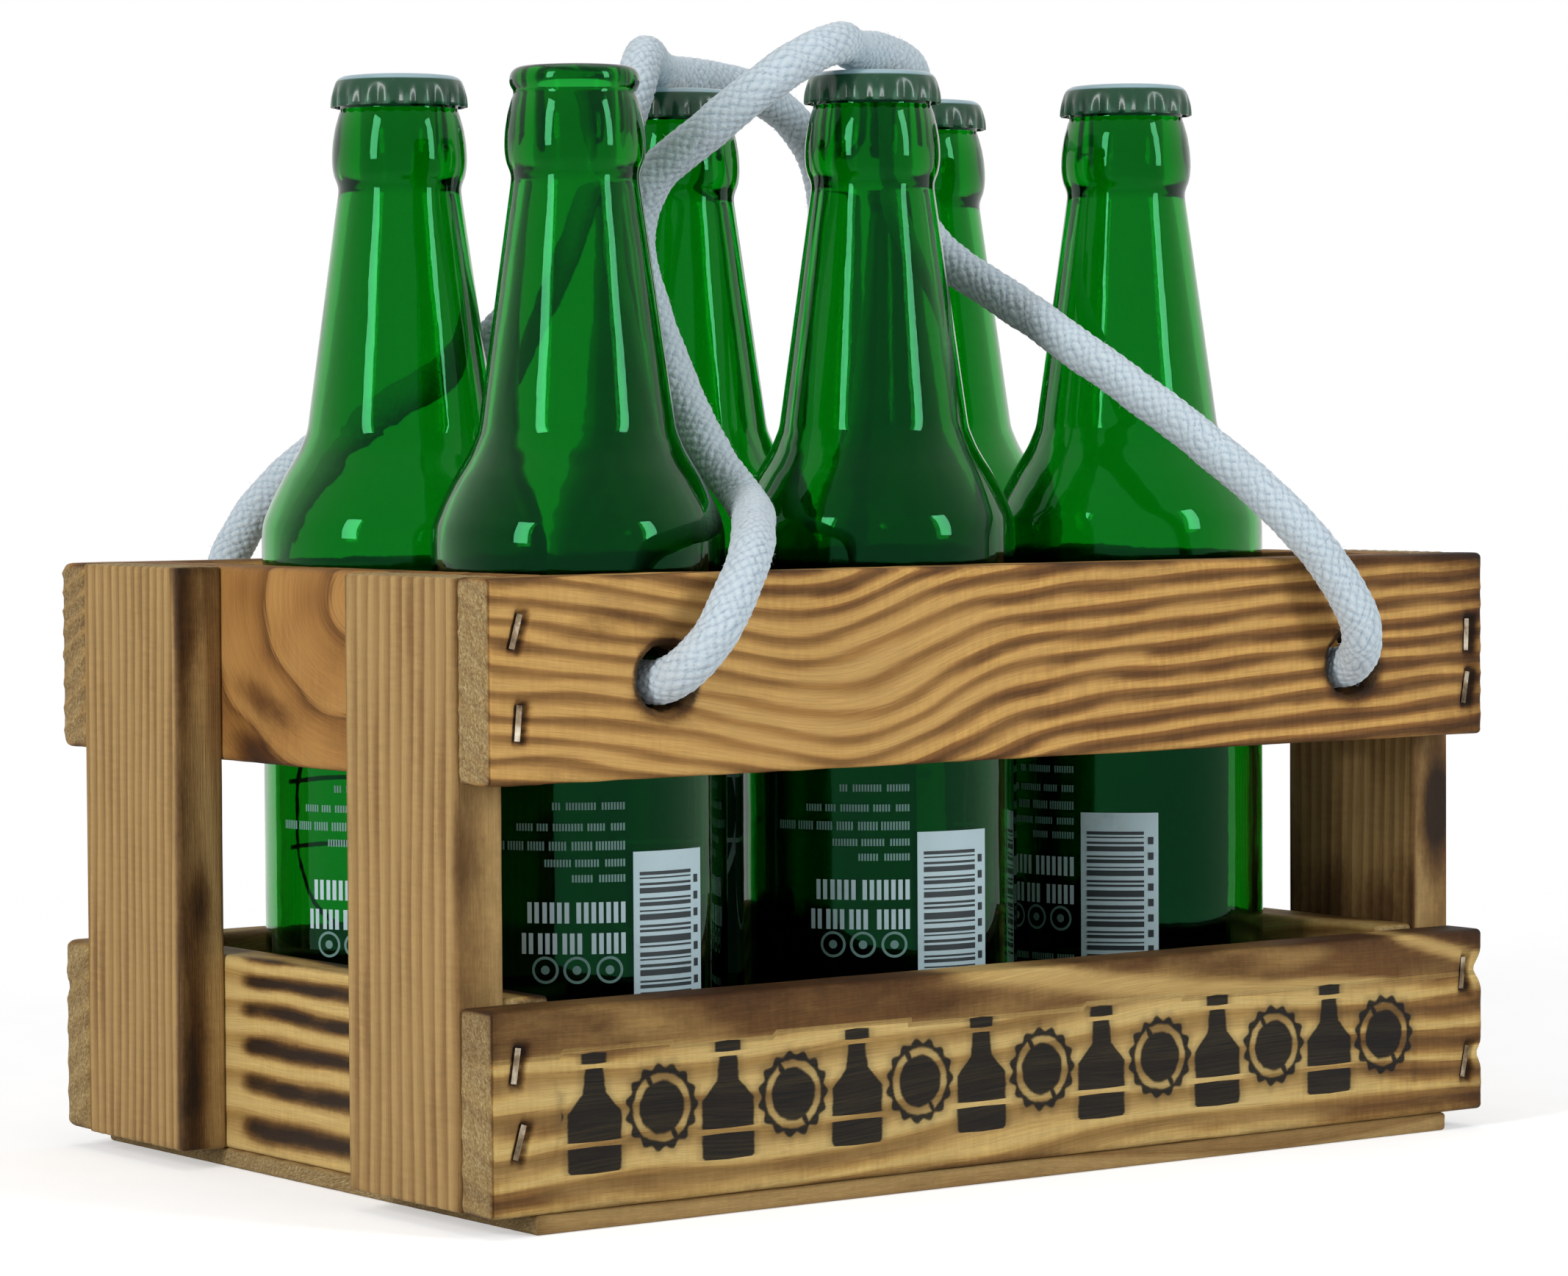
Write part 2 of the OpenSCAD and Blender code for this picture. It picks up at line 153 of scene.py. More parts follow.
def mesh_object(name, verts, faces, mat, body, attrs=None, face_mat=None):
    me = bpy.data.meshes.new(name)
    me.from_pydata([tuple(v) for v in np.asarray(verts, float) * MM], [], [tuple(int(i) for i in f) for f in faces])
    for key, val in (attrs or {}).items():
        val = np.asarray(val, np.float32)
        kind, field = ("FLOAT", "value") if val.ndim == 1 else ("FLOAT_VECTOR", "vector")
        me.attributes.new(key, kind, "POINT").data.foreach_set(field, val.ravel())
    for m in mat if isinstance(mat, list) else [mat]:
        me.materials.append(m)
    if face_mat is not None:
        me.polygons.foreach_set("material_index", np.asarray(face_mat, np.int32))
    me.polygons.foreach_set("use_smooth", np.full(len(me.polygons), True))
    me.update()
    ob = bpy.data.objects.new(name, me)
    scene.collection.objects.link(ob)
    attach(ob, body)
    return ob


def stands_for(ob, node):
    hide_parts(node)
    return ob


# ---- material helper
class Nodes:
    """A material under construction, with one short call for each kind of node."""

    def __init__(self, name, world=None):
        self.mat = world or bpy.data.materials.new(name)
        self.mat.use_nodes = True
        self.t = self.mat.node_tree
        self.bsdf = self.t.nodes.get("Principled BSDF")
        self.out = self.t.nodes.get("Material Output")

    def put(self, sock, v):
        if isinstance(v, bpy.types.NodeSocket):
            self.t.links.new(v, sock)
        elif v is not None:
            sock.default_value = v

    def node(self, kind, ins=(), **kw):
        """ins are (input, value or socket)."""
        n = self.t.nodes.new("ShaderNode" + kind)
        for k, v in kw.items():
            setattr(n, k, v)
        for k, v in ins:
            self.put(n.inputs[k], v)
        return n

    def math(self, op, a, b=None, clamp=False):
        return self.node("Math", ((0, a), (1, b)), operation=op, use_clamp=clamp).outputs[0]

    def add(self, a, *rest):
        for b in rest:
            a = self.math("ADD", a, b)
        return a

    def sub(self, a, b):
        return self.math("SUBTRACT", a, b)

    def mul(self, a, b):
        return self.math("MULTIPLY", a, b)

    def sway(self, v, noise, amount):
        """v moved up and down by a noise, which is 0.5 on average."""
        return self.add(v, self.mul(self.sub(noise, 0.5), amount))

    def root(self, a, b):
        """Distance from the sides a and b."""
        return self.math("SQRT", self.add(self.mul(a, a), self.mul(b, b)))

    def seen(self):
        """1 for rays from the camera, a reflection or clear glass, which are to meet a white background."""
        rays = self.node("LightPath").outputs
        other = self.math("MAXIMUM", rays["Is Glossy Ray"], rays["Is Transmission Ray"])
        return self.math("MAXIMUM", rays["Is Camera Ray"], other)

    def place(self):
        return self.node("TexCoord").outputs["Object"]

    def attr(self, name, vector=False):
        return self.node("Attribute", attribute_name=name).outputs["Vector" if vector else "Fac"]

    def split(self, v):
        return tuple(self.node("SeparateXYZ", ((0, v),)).outputs)

    def join(self, x, y, z):
        return self.node("CombineXYZ", enumerate((x, y, z))).outputs[0]

    def scale(self, v, k):
        return self.node("VectorMath", ((0, v), (1, k)), operation="MULTIPLY").outputs[0]

    def noise(self, vec, scale=1.0, detail=3.0, rough=0.5):
        ins = (("Vector", vec), ("Scale", scale), ("Detail", detail), ("Roughness", rough))
        return self.node("TexNoise", ins).outputs["Fac"]

    def remap(self, v, a, b, c=0.0, d=1.0, kind="SMOOTHSTEP"):
        return self.node("MapRange", enumerate((v, a, b, c, d)), interpolation_type=kind).outputs[0]

    def ramp(self, fac, stops, colour=rgb):
        """stops are (place, red, green, blue), or (place, level) with colour=grey."""
        n = self.node("ValToRGB", ((0, fac),))
        e = n.color_ramp.elements
        while len(e) < len(stops):
            e.new(0.5)
        for i, (at, *c) in enumerate(stops):
            e[i].position = at
            e[i].color = colour(*c)
        return n.outputs[0]

    def mix(self, fac, a, b, kind="MIX"):
        return self.node("Mix", ((0, fac), (6, a), (7, b)), data_type="RGBA", blend_type=kind).outputs[2]

    def bump(self, height, dist, strength):
        return self.node("Bump", (("Height", height), ("Distance", dist), ("Strength", strength))).outputs[0]

    def set(self, **kw):
        for k, v in kw.items():
            self.put(self.bsdf.inputs[k.replace("_", " ")], v)


# ---- ropes
def curve_through(points, spacing):
    """Catmull-Rom curve through the route points, resampled at even steps."""
    p = np.array(points, float)
    q = np.vstack([2 * p[0] - p[1], p, 2 * p[-1] - p[-2]])
    out = []
    for i in range(1, len(q) - 2):
        t = np.linspace(0, 1, 24, endpoint=False)[:, None]
        a, b, c, d = q[i - 1], q[i], q[i + 1], q[i + 2]
        out.append(0.5 * (2 * b + (c - a) * t + (2 * a - 5 * b + 4 * c - d) * t**2 + (3 * b - a - 3 * c + d) * t**3))
    out = np.vstack(out + [p[-1:]])
    s = path_lengths(out)
    n = int(round(s[-1] / spacing))
    t = np.linspace(0, s[-1], n + 1)
    return np.stack([np.interp(t, s, out[:, k]) for k in range(3)], 1), t


def frames_along(p):
    """Tangent and two side vectors that don't twist along the curve."""
    t = unit(np.gradient(p, axis=0))
    u = np.zeros_like(t)
    side = np.cross(t[0], (0, 0, 1))
    if np.linalg.norm(side) < 0.1:
        side = np.cross(t[0], (1, 0, 0))
    u[0] = side / np.linalg.norm(side)
    for i in range(1, len(t)):
        w = u[i - 1] - t[i] * np.dot(u[i - 1], t[i])
        u[i] = w / np.linalg.norm(w)
    return t, u, np.cross(t, u)


def braid(th, s, strands=11, lay=27.0):
    """Height 0 to 1 of a plaited surface, and the yarn direction's own coordinate."""
    a = strands * (th / (2 * math.pi) + s / lay)
    b = strands * (th / (2 * math.pi) - s / lay)
    ia, ib = np.floor(a), np.floor(b)
    u, v = a - ia, b - ib
    even = (ia + ib) % 2 == 0
    along = np.where(even, u, v)
    across = np.where(even, v, u)
    hgt = (1 - np.abs(2 * across - 1) ** 2.6) * (1 - 0.42 * np.abs(2 * along - 1) ** 2.2)
    return np.clip(hgt, 0, 1), along, across


def tube_faces(m, k):
    """Faces of m rings of k points, closed by one more point at each end."""
    idx = np.arange(m * k).reshape(m, k)
    nx = np.roll(idx, -1, axis=1)
    F = np.stack([idx[:-1], nx[:-1], nx[1:], idx[1:]], -1).reshape(-1, 4).tolist()
    F += [(idx[0, j], m * k, idx[0, (j + 1) % k]) for j in range(k)]
    return F + [(idx[-1, (j + 1) % k], m * k + 1, idx[-1, j]) for j in range(k)]


def rope_rings(p, s, radius, seed, sides, relief=0.42, swell=None):
    """Rings of a braided tube along p, and the braid's height at each point."""
    t, u, v = frames_along(p)
    th = np.linspace(0, 2 * math.pi, sides, endpoint=False)
    TH, S = np.meshgrid(th, s)
    turn = TH / (2 * math.pi)
    h, al, ac = braid(TH + 0.05 * wob(S, turn, seed + 7, 6), S + 0.5 * wob(S, turn, seed + 8, 8))
    fibre = 0.03 * np.sin(2 * math.pi * 2 * ac + 1.3 * np.sin(2 * math.pi * al))
    soft = 0.12 * wob(S, turn, seed, 14)
    r = radius - relief * (1 - h) + fibre * 0.6 + soft
    if swell is not None:
        r = r * swell[:, None]
    c, n = np.cos(TH), np.sin(TH)
    V = p[:, None, :] + r[..., None] * (c[..., None] * u[:, None, :] + n[..., None] * v[:, None, :])
    return V.reshape(-1, 3), h.ravel()


def rope_tube(points, spacing, radius, seed, relief, sides=60, swell=None):
    """Closed braided tube: verts, faces and braid heights. points is the curve itself where spacing is None."""
    p, s = (points, path_lengths(points)) if spacing is None else curve_through(points, spacing)
    V, h = rope_rings(p, s, radius, seed, sides, relief, swell(s) if swell else None)
    return np.vstack([V, p[0], p[-1]]), tube_faces(len(p), sides), np.r_[h, 0.3, 0.3]


def rope_fuzz(p, s, radius, seed, per_mm=7.0):
    """Loose cotton hairs that stand off the rope: verts, faces and braid heights."""
    rng = np.random.default_rng(seed)
    t, u, v = frames_along(p)
    n = int((s[-1] - s[0]) * per_mm)
    i = rng.integers(1, len(p) - 1, n)
    th = rng.random(n) * 2 * math.pi
    rad = np.cos(th)[:, None] * u[i] + np.sin(th)[:, None] * v[i]
    tang = -np.sin(th)[:, None] * u[i] + np.cos(th)[:, None] * v[i]
    lean = t[i] * rng.normal(0, 0.9, n)[:, None] + tang * rng.normal(0, 0.9, n)[:, None]
    L = 0.5 + 1.0 * rng.random(n) ** 2
    d1 = unit(rad * 0.75 + lean * 0.55)
    base = p[i] + rad * (radius - 0.35)
    mid = base + d1 * (L * 0.55)[:, None]
    d2 = unit(d1 + lean * 0.7 - rad * 0.35)
    tip = mid + d2 * (L * 0.5)[:, None]
    w = unit(np.cross(d1, rad + 0.01)) * 0.035
    V = np.stack([base - w, base + w, mid + w * 0.8, mid - w * 0.8, tip], 1).reshape(-1, 3)
    k = np.arange(n) * 5
    F = np.stack([k, k + 1, k + 2, k + 3], 1).tolist() + np.stack([k + 3, k + 2, k + 4], 1).tolist()
    return V, F, np.full(len(V), 0.9)


def make_cotton():
    m = Nodes("cotton_rope")
    h, co = m.attr("braid"), m.place()
    fine = m.noise(co, 2600, 3, 0.6)
    dirt = m.noise(co, 90, 4, 0.6)
    yarn = m.noise(co, 1100, 2, 0.5)
    # darker in the plait's grooves, paler on the raised yarn: painted shade in the grooves
    base = m.ramp(h, [(0, 142, 159, 173), (0.3, 170, 186, 198), (0.7, 190, 204, 213), (1, 199, 211, 218)])
    c = m.mix(m.remap(dirt, 0.42, 0.75, 0, 0.22), base, rgb(172, 178, 182))
    c = m.mix(m.remap(fine, 0.40, 0.7, 0.0, 0.25), c, rgb(218, 226, 230))
    m.set(Base_Color=c, Roughness=0.92, Sheen_Weight=0.35, Sheen_Roughness=0.5, Specular_IOR_Level=0.2,
          Normal=m.bump(m.add(m.mul(fine, 0.6), m.mul(yarn, 0.6)), 0.00035, 0.7))
    return m.mat


cotton = make_cotton()

# the routes of part.scad, number for number
front_route = [
    [-89, -74.8, 106], [-89, -79, 106], [-88.5, -84.5, 106.5], [-87.5, -90, 109],
    [-83.5, -94, 115], [-77, -93, 124], [-69, -87, 132], [-60, -75, 136], [-50.5, -62, 138],
    [-42, -47, 141], [-40, -33, 150], [-40, -22, 163], [-42, -15, 178], [-45, -12, 194],
    [-45, -18, 208], [-38, -30, 219], [-28, -39, 229.5], [-17, -40, 235.5], [-8, -36, 237.5],
    [3, -26, 237], [17, -19, 237], [29, -12, 233], [34, -4, 221], [34, -3, 207], [37, -13, 194],
    [42.5, -31, 183], [48, -48, 172], [55, -63, 161], [63, -77, 149], [71, -88, 137],
    [79, -93, 126], [85.5, -95, 115], [89, -92, 108], [91.5, -86, 104], [92, -79, 103],
    [92, -74.8, 103]]
back_route = [
    [-89, 74.8, 106], [-89, 79, 106], [-88.5, 84.5, 107], [-87.5, 90, 110], [-85.5, 95, 117],
    [-82, 97, 127], [-76, 95, 138], [-69, 88, 148], [-62, 78, 156], [-55, 65, 163],
    [-48, 51, 170], [-44, 38, 180], [-39, 27, 193], [-33, 20, 208], [-25, 19, 226],
    [-15, 28, 238], [-3, 42, 238], [10, 55, 237], [26, 63, 237], [43, 68, 235], [58, 71, 228],
    [70, 77, 217], [78, 85, 202], [84, 92, 186], [89, 98, 168], [92, 101, 150], [93, 101, 133],
    [92, 97, 118], [91, 90.5, 109.5], [90, 84.5, 106], [90, 79, 105], [90, 74.8, 105]]
SPLIT = 130.0       # height of the cut between the arch and the ends, which stay in the holes
TAIL_END = 91.5     # the knots' tails stop above the slat's lower edge: the photograph shows none below it


def frayed(at, seed, n=160):
    """Short strands that hang from the cut end of a tail."""
    rng = np.random.default_rng(seed)
    a = rng.random(n) * 2 * math.pi
    rr = 3.5 * np.sqrt(rng.random(n))
    b0 = at + np.stack([rr * np.cos(a), rr * np.sin(a), np.full(n, 0.6)], 1)
    out = np.stack([np.cos(a), np.sin(a), np.zeros(n)], 1)
    b1 = b0 + out * (0.25 * rng.random(n))[:, None] + np.array([0, 0, -1]) * (0.6 + 1.1 * rng.random(n))[:, None]
    w = np.cross(out, (0, 0, 1)) * 0.09
    V = np.stack([b0 - w, b0 + w, b1], 1).reshape(-1, 3)
    return V, (np.arange(n)[:, None] * 3 + np.arange(3)).tolist(), np.full(len(V), 0.8)


def make_knot(side, name, hx, hz, lean, drop, seed):
    """A pulled-tight overhand knot behind the hole, with its short tail."""
    sg = -1 if side == "front" else 1
    c = np.array([hx + lean, sg * 66.84, hz - 1 - drop])
    t = np.linspace(0, 2 * math.pi, 181)
    wide, thick = 1.42, 2.4
    trefoil = (np.sin(t) + 2 * np.sin(2 * t)) * wide, -np.sin(3 * t) * thick, (np.cos(t) - 2 * np.cos(2 * t)) * wide
    loop = c + np.stack(trefoil, 1)
    tail = np.array([[c[0], c[1], c[2] - 1], [c[0] + 0.4, c[1] + sg * 0.2, c[2] * 0.7 + TAIL_END * 0.3],
                     [c[0] - 0.3, c[1], c[2] * 0.35 + TAIL_END * 0.65], [c[0] + 0.3, c[1] - sg * 0.3, TAIL_END]])
    stub = np.array([[hx, sg * 76.5, hz - 1], [hx, sg * 73, hz - 1],
                     [hx + lean * 0.25, sg * 70.5, hz - 1 - drop * 0.4]])
    tp, ts = curve_through(tail, 0.6)

    def swell(s):
        return 1 + 0.09 * step01(s, s[-1] - 5, s[-1]) - 0.06 * step01(s, s[-1] - 9, s[-1] - 5)

    V, F, H = joined([rope_tube(loop, None, 3.1, seed, 0.25), rope_tube(tail, 0.6, 3.75, seed + 1, 0.3, swell=swell),
                      rope_tube(stub, 0.6, 4.1, seed + 2, 0.3), rope_fuzz(tp, ts, 3.7, seed + 3, 10),
                      frayed(tp[-1], seed + 9)])
    return stands_for(mesh_object(name + "_rope", V, F, cotton, "crate", {"braid": H}), name)


def make_rope(side, route, node, seed):
    """The rope as one tube, so that the plait runs on, cut in three at the split height."""
    p, s = curve_through(route, 0.45)
    above = np.where(p[:, 2] > SPLIT)[0]
    i0, i1 = above[0], above[-1]

    def cut(i, j):                                   # point on the split plane between two samples
        k = (SPLIT - p[i, 2]) / (p[j, 2] - p[i, 2])
        return p[i] + k * (p[j] - p[i]), s[i] + k * (s[j] - s[i])

    pa, sa = cut(i0 - 1, i0)
    pb, sb = cut(i1, i1 + 1)
    p = np.vstack([p[:i0], pa, p[i0:i1 + 1], pb, p[i1 + 1:]])
    s = np.r_[s[:i0], sa, s[i0:i1 + 1], sb, s[i1 + 1:]]
    V, H = rope_rings(p, s, ROPE_R, seed, ROPE_SIDES)
    obs = {}
    for part, (a, b) in {"left_end": (0, i0), "arch": (i0, i1 + 2), "right_end": (i1 + 2, len(p) - 1)}.items():
        rows = slice(a * ROPE_SIDES, (b + 1) * ROPE_SIDES)
        tube = np.vstack([V[rows], p[a], p[b]]), tube_faces(b - a + 1, ROPE_SIDES), np.r_[H[rows], 0.4, 0.4]
        v, f, h = joined([tube, rope_fuzz(p[a:b + 1], s[a:b + 1], ROPE_R, seed + len(part))])
        ob = mesh_object(f"{side}_rope_{part}", v, f, cotton, "crate", {"braid": h})
        obs[part] = stands_for(ob, node)
    return obs, p[i0:i1 + 3]


for side, route, leans, drops, seed in (("front", front_route, (-9.6, 7), (2, 3), 11),
                                        ("back", back_route, (-9.2, 9.6), (2, 3), 23)):
    obs, arch = make_rope(side, route, side + "_rope", seed)
    knots = [make_knot(side, f"{side}_{lr}_knot", *HOLES[side][i], leans[i], drops[i], seed + 40 + 20 * i)
             for i, lr in enumerate(("left", "right"))]
    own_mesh(obs["arch"])


# ---- wood
def make_wood(name, pale, hot, shade, fibre=0.16, ink=False):
    """Board material. gr is along, across, depth in mm; ring the ring count; tone burn, scorch with painted shade, end
    grain.
    """
    m = Nodes(name)
    gr = m.attr("gr", True)
    ring = m.attr("ring")
    burn, scorch_and_shade, endg = m.split(m.attr("tone", True))
    gx, gy, gz = m.split(gr)

    def grain(along, across, depth, detail, rough):
        """Noise with these waves per mm."""
        return m.noise(m.scale(gr, (along, across, depth)), 1.0, detail, rough)

    slow = grain(0.018, 0.10, 0.1, 1, 0.5)
    edge = grain(0.05, 1.8, 1.8, 3, 0.6)
    r2 = m.sway(m.sway(ring, slow, 0.22), edge, 0.20)
    f = m.math("FRACT", r2)
    patch = grain(0.035, 0.09, 0.1, 4, 0.6)
    own = m.noise(m.join(m.mul(gx, 0.012), m.mul(m.math("FLOOR", r2), 0.77), 0.0), 1.0, 1, 0.5)
    bfac = m.sway(m.sway(burn, patch, 0.9), own, 0.9)       # some rings are stronger than others
    wide = m.remap(bfac, 0.55, 1.15, 1.0, 1.9)
    bfac = m.math("ADD", bfac, 0.0, clamp=True)
    c = m.mix(bfac, m.ramp(f, pale), m.ramp(m.math("POWER", f, wide), hot))
    # fine fibres along the grain, and short marks across it in the burnt bands
    fine = grain(0.06, 2.6, 2.6, 4, 0.65)
    hair = grain(0.12, 9.0, 9.0, 2, 0.6)
    tick = grain(0.9, 0.16, 0.3, 3, 0.6)
    k = m.remap(fine, 0.25, 0.75, 1 - fibre, 1 + fibre, "LINEAR")
    k = m.mul(k, m.remap(hair, 0.3, 0.7, 0.93, 1.06, "LINEAR"))
    tk = m.sub(m.remap(tick, 0.35, 0.7, 0.86, 1.10, "LINEAR"), 1.0)
    k = m.mul(k, m.add(m.mul(tk, m.mul(bfac, 0.9)), 1.0))
    c = m.mix(1.0, c, m.join(k, k, k), "MULTIPLY")
    # end grain: open pores, saw marks
    pore = grain(0.3, 1.5, 1.5, 5, 0.8)
    saw = m.noise(m.join(m.mul(gy, 0.10), m.add(m.mul(gz, 0.9), m.mul(gy, 0.35)), 0.0), 1.0, 4, 0.6)
    ec = m.ramp(pore, [(0.32, 84, 60, 34), (0.42, 142, 114, 72), (0.54, 182, 160, 112), (0.68, 222, 206, 160)])
    ec = m.mix(m.remap(saw, 0.42, 0.66, 0.0, 0.40), ec, rgb(134, 102, 62))
    ec = m.mix(m.mul(bfac, 0.42), ec, m.mix(0.5, c, rgb(110, 76, 42)))
    c = m.mix(endg, c, ec)
    # scorch
    # scorch, and the painted shade of the staple pockets and the hole walls
    cloud = grain(0.12, 0.22, 0.25, 4, 0.6)
    speck = grain(0.5, 1.6, 1.6, 3, 0.7)
    sc = m.sway(m.sway(scorch_and_shade, cloud, 0.45), speck, 0.25)
    s1 = m.mul(m.remap(sc, 0.22, 0.85), 0.82)
    c = m.mix(s1, c, m.mix(1.0, c, rgb(*shade), "MULTIPLY"))
    s2 = m.mul(m.remap(sc, 0.72, 1.15), 0.9)
    c = m.mix(s2, c, rgb(30, 20, 13))
    if ink:
        c = add_stencil(m, c, fine)
    m.set(Base_Color=c, Roughness=0.62, Specular_IOR_Level=0.14)
    valley = m.remap(m.math("ABSOLUTE", m.sub(f, 0.16)), 0.04, 0.32)
    hgt = m.add(m.mul(fine, 0.5), m.mul(hair, 0.35), m.mul(m.mul(pore, endg), 1.3), m.mul(valley, -0.25))
    m.set(Normal=m.bump(hgt, 0.00045, 0.8))
    return m.mat


STENCIL_PITCH = 32.0        # from one bottle to the next, with a crown cap between
STENCIL_MIDDLE = -107.0     # x of the middle of the first bottle
# half width of a stencilled bottle from foot to cap: (height 0 to 1, (half width + 3) / 16)
STENCIL_BOTTLE = [(0.0, 0), (0.012, 0.56), (0.035, 0.595), (0.22, 0.595), (0.225, 0), (0.262, 0), (0.267, 0.595),
                  (0.50, 0.595), (0.66, 0.37), (0.86, 0.335), (0.865, 0), (0.895, 0), (0.90, 0.39), (0.985, 0.39),
                  (1.0, 0)]


def add_stencil(m, c, grain):
    """A sprayed row of plain bottles and crown caps: an own, generic pattern. Shapes are negative inside."""
    x, y, z = m.split(m.scale(m.place(), (1000, 1000, 1000)))

    def from_middle(shift):                          # x from the middle of the nearest shape of the row
        start = -STENCIL_MIDDLE + 5 * STENCIL_PITCH + shift
        return m.sub(m.math("MODULO", m.add(x, start), STENCIL_PITCH), STENCIL_PITCH / 2)

    def flat_noise(k, detail, rough):
        return m.noise(m.join(m.mul(x, k), m.mul(z, k), 0.0), 1.0, detail, rough)

    rag = m.mul(m.sub(flat_noise(0.35, 2, 0.5), 0.5), 0.9)
    u, v, w = from_middle(STENCIL_PITCH / 2), from_middle(0), m.sub(z, 22.8)
    half = m.ramp(m.remap(z, 11.0, 35.0, 0, 1, "LINEAR"), STENCIL_BOTTLE, grey)
    half = m.sub(m.mul(m.split(half)[0], 16.0), 3.0)
    bottles = m.add(m.sub(m.math("ABSOLUTE", u), half), rag)
    rad = m.root(v, w)
    flute = m.mul(m.math("COSINE", m.mul(m.math("ARCTAN2", w, v), 15.0)), 0.45)
    outer = m.sub(rad, m.add(flute, 8.5))
    ring = m.sub(0.55, m.math("ABSOLUTE", m.sub(rad, 6.1)))
    bridge = m.sub(0.9, m.math("ABSOLUTE", m.add(v, m.mul(w, 0.55))))
    ring = m.math("MINIMUM", ring, m.sub(0.0, bridge))
    inside = m.math("MINIMUM", bottles, m.add(m.math("MAXIMUM", outer, ring), rag))
    inside = m.math("MAXIMUM", inside, m.math("MAXIMUM", m.sub(-114.9, x), m.sub(x, 109.7)))
    mask = m.math("MAXIMUM", m.remap(inside, -0.55, 0.35, 1.0, 0.0), m.remap(inside, -0.2, 2.2, 0.30, 0.0))
    mask = m.mul(mask, m.remap(grain, 0.3, 0.8, 1.0, 0.94, "LINEAR"))
    mask = m.mul(mask, m.remap(y, -85.0, -85.6, 0.0, 1.0))
    dust = flat_noise(1.1, 3, 0.7)
    return m.mix(mask, c, m.mix(m.remap(dust, 0.66, 0.85), rgb(13, 13, 14), rgb(44, 42, 40)))


# colours across one year ring, plain and scorched; A and B front and long slats, C posts and base, D arched end boards
PALE_A = [(0.0, 176, 133, 76), (0.10, 164, 120, 64), (0.22, 168, 124, 68), (0.40, 190, 148, 86), (0.62, 201, 160, 97),
          (0.88, 199, 158, 94), (1.0, 176, 133, 76)]
HOT_A = [(0.0, 140, 96, 50), (0.08, 98, 65, 34), (0.22, 104, 70, 37), (0.34, 144, 102, 54), (0.46, 184, 136, 74),
         (0.60, 206, 160, 90), (0.86, 204, 158, 88), (0.94, 178, 130, 70), (1.0, 140, 96, 50)]
PALE_B = [(0.0, 184, 150, 88), (0.12, 176, 142, 80), (0.30, 188, 156, 96), (0.55, 204, 176, 114),
          (0.85, 206, 178, 116), (1.0, 184, 150, 88)]
HOT_B = [(0.0, 140, 102, 54), (0.10, 102, 70, 36), (0.26, 118, 83, 43), (0.40, 150, 112, 60), (0.56, 190, 152, 86),
         (0.74, 206, 174, 108), (0.90, 192, 156, 90), (1.0, 140, 102, 54)]
PALE_C = [(0.0, 150, 118, 70), (0.15, 158, 126, 78), (0.5, 168, 136, 85), (0.8, 178, 147, 95), (1.0, 150, 118, 70)]
HOT_C = [(0.0, 124, 90, 50), (0.14, 128, 95, 54), (0.36, 152, 119, 72), (0.6, 174, 142, 90), (0.86, 172, 140, 88),
         (1.0, 124, 90, 50)]
PALE_D = [(0.0, 118, 78, 36), (0.05, 134, 92, 44), (0.2, 158, 113, 58), (0.6, 172, 126, 68), (0.9, 176, 132, 74),
          (0.965, 162, 116, 62), (1.0, 112, 74, 34)]
HOT_D = [(0.0, 92, 58, 27), (0.06, 116, 76, 36), (0.25, 144, 99, 50), (0.6, 160, 114, 60), (0.92, 164, 118, 62),
         (1.0, 90, 58, 27)]
scorched_wood = make_wood("scorched_wood", PALE_A, HOT_A, (120, 96, 72))
pale_wood = make_wood("pale_wood", PALE_B, HOT_B, (120, 92, 62))
stencil_wood = make_wood("pale_wood_stencilled", PALE_B, HOT_B, (120, 92, 62), ink=True)
brushed_wood = make_wood("brushed_wood", PALE_C, HOT_C, (112, 84, 56), fibre=0.13)
arched_wood = make_wood("brushed_wood_arched", PALE_D, HOT_D, (112, 80, 50), fibre=0.12)
base_wood = make_wood("base_wood", PALE_C, HOT_C, (120, 92, 62), fibre=0.2)


def ticks(a, b, r, step, fine=()):
    """Lattice lines from a to b: close lines in the rounded edges, whole millimetres between."""
    lines = [a, a + 0.3 * r, a + 0.65 * r, a + r, b - r, b - 0.65 * r, b - 0.3 * r, b]
    lines += [v for v in np.arange(math.ceil(a + r + 0.2), b - r - 0.2, step)]
    for f0, f1, st in fine:
        lines += [v for v in np.arange(f0, f1 + 0.01, st) if a + r + 0.2 < v < b - r - 0.2]
    out = []
    for v in sorted(lines):
        if not out or v - out[-1] > 0.12:
            out.append(v)
    out[-1] = b
    return np.array(out)


HOLE_IN, HOLE_OUT = 5.0, 13.0       # half sides of the squares of the lattice that a rope hole bends into rings


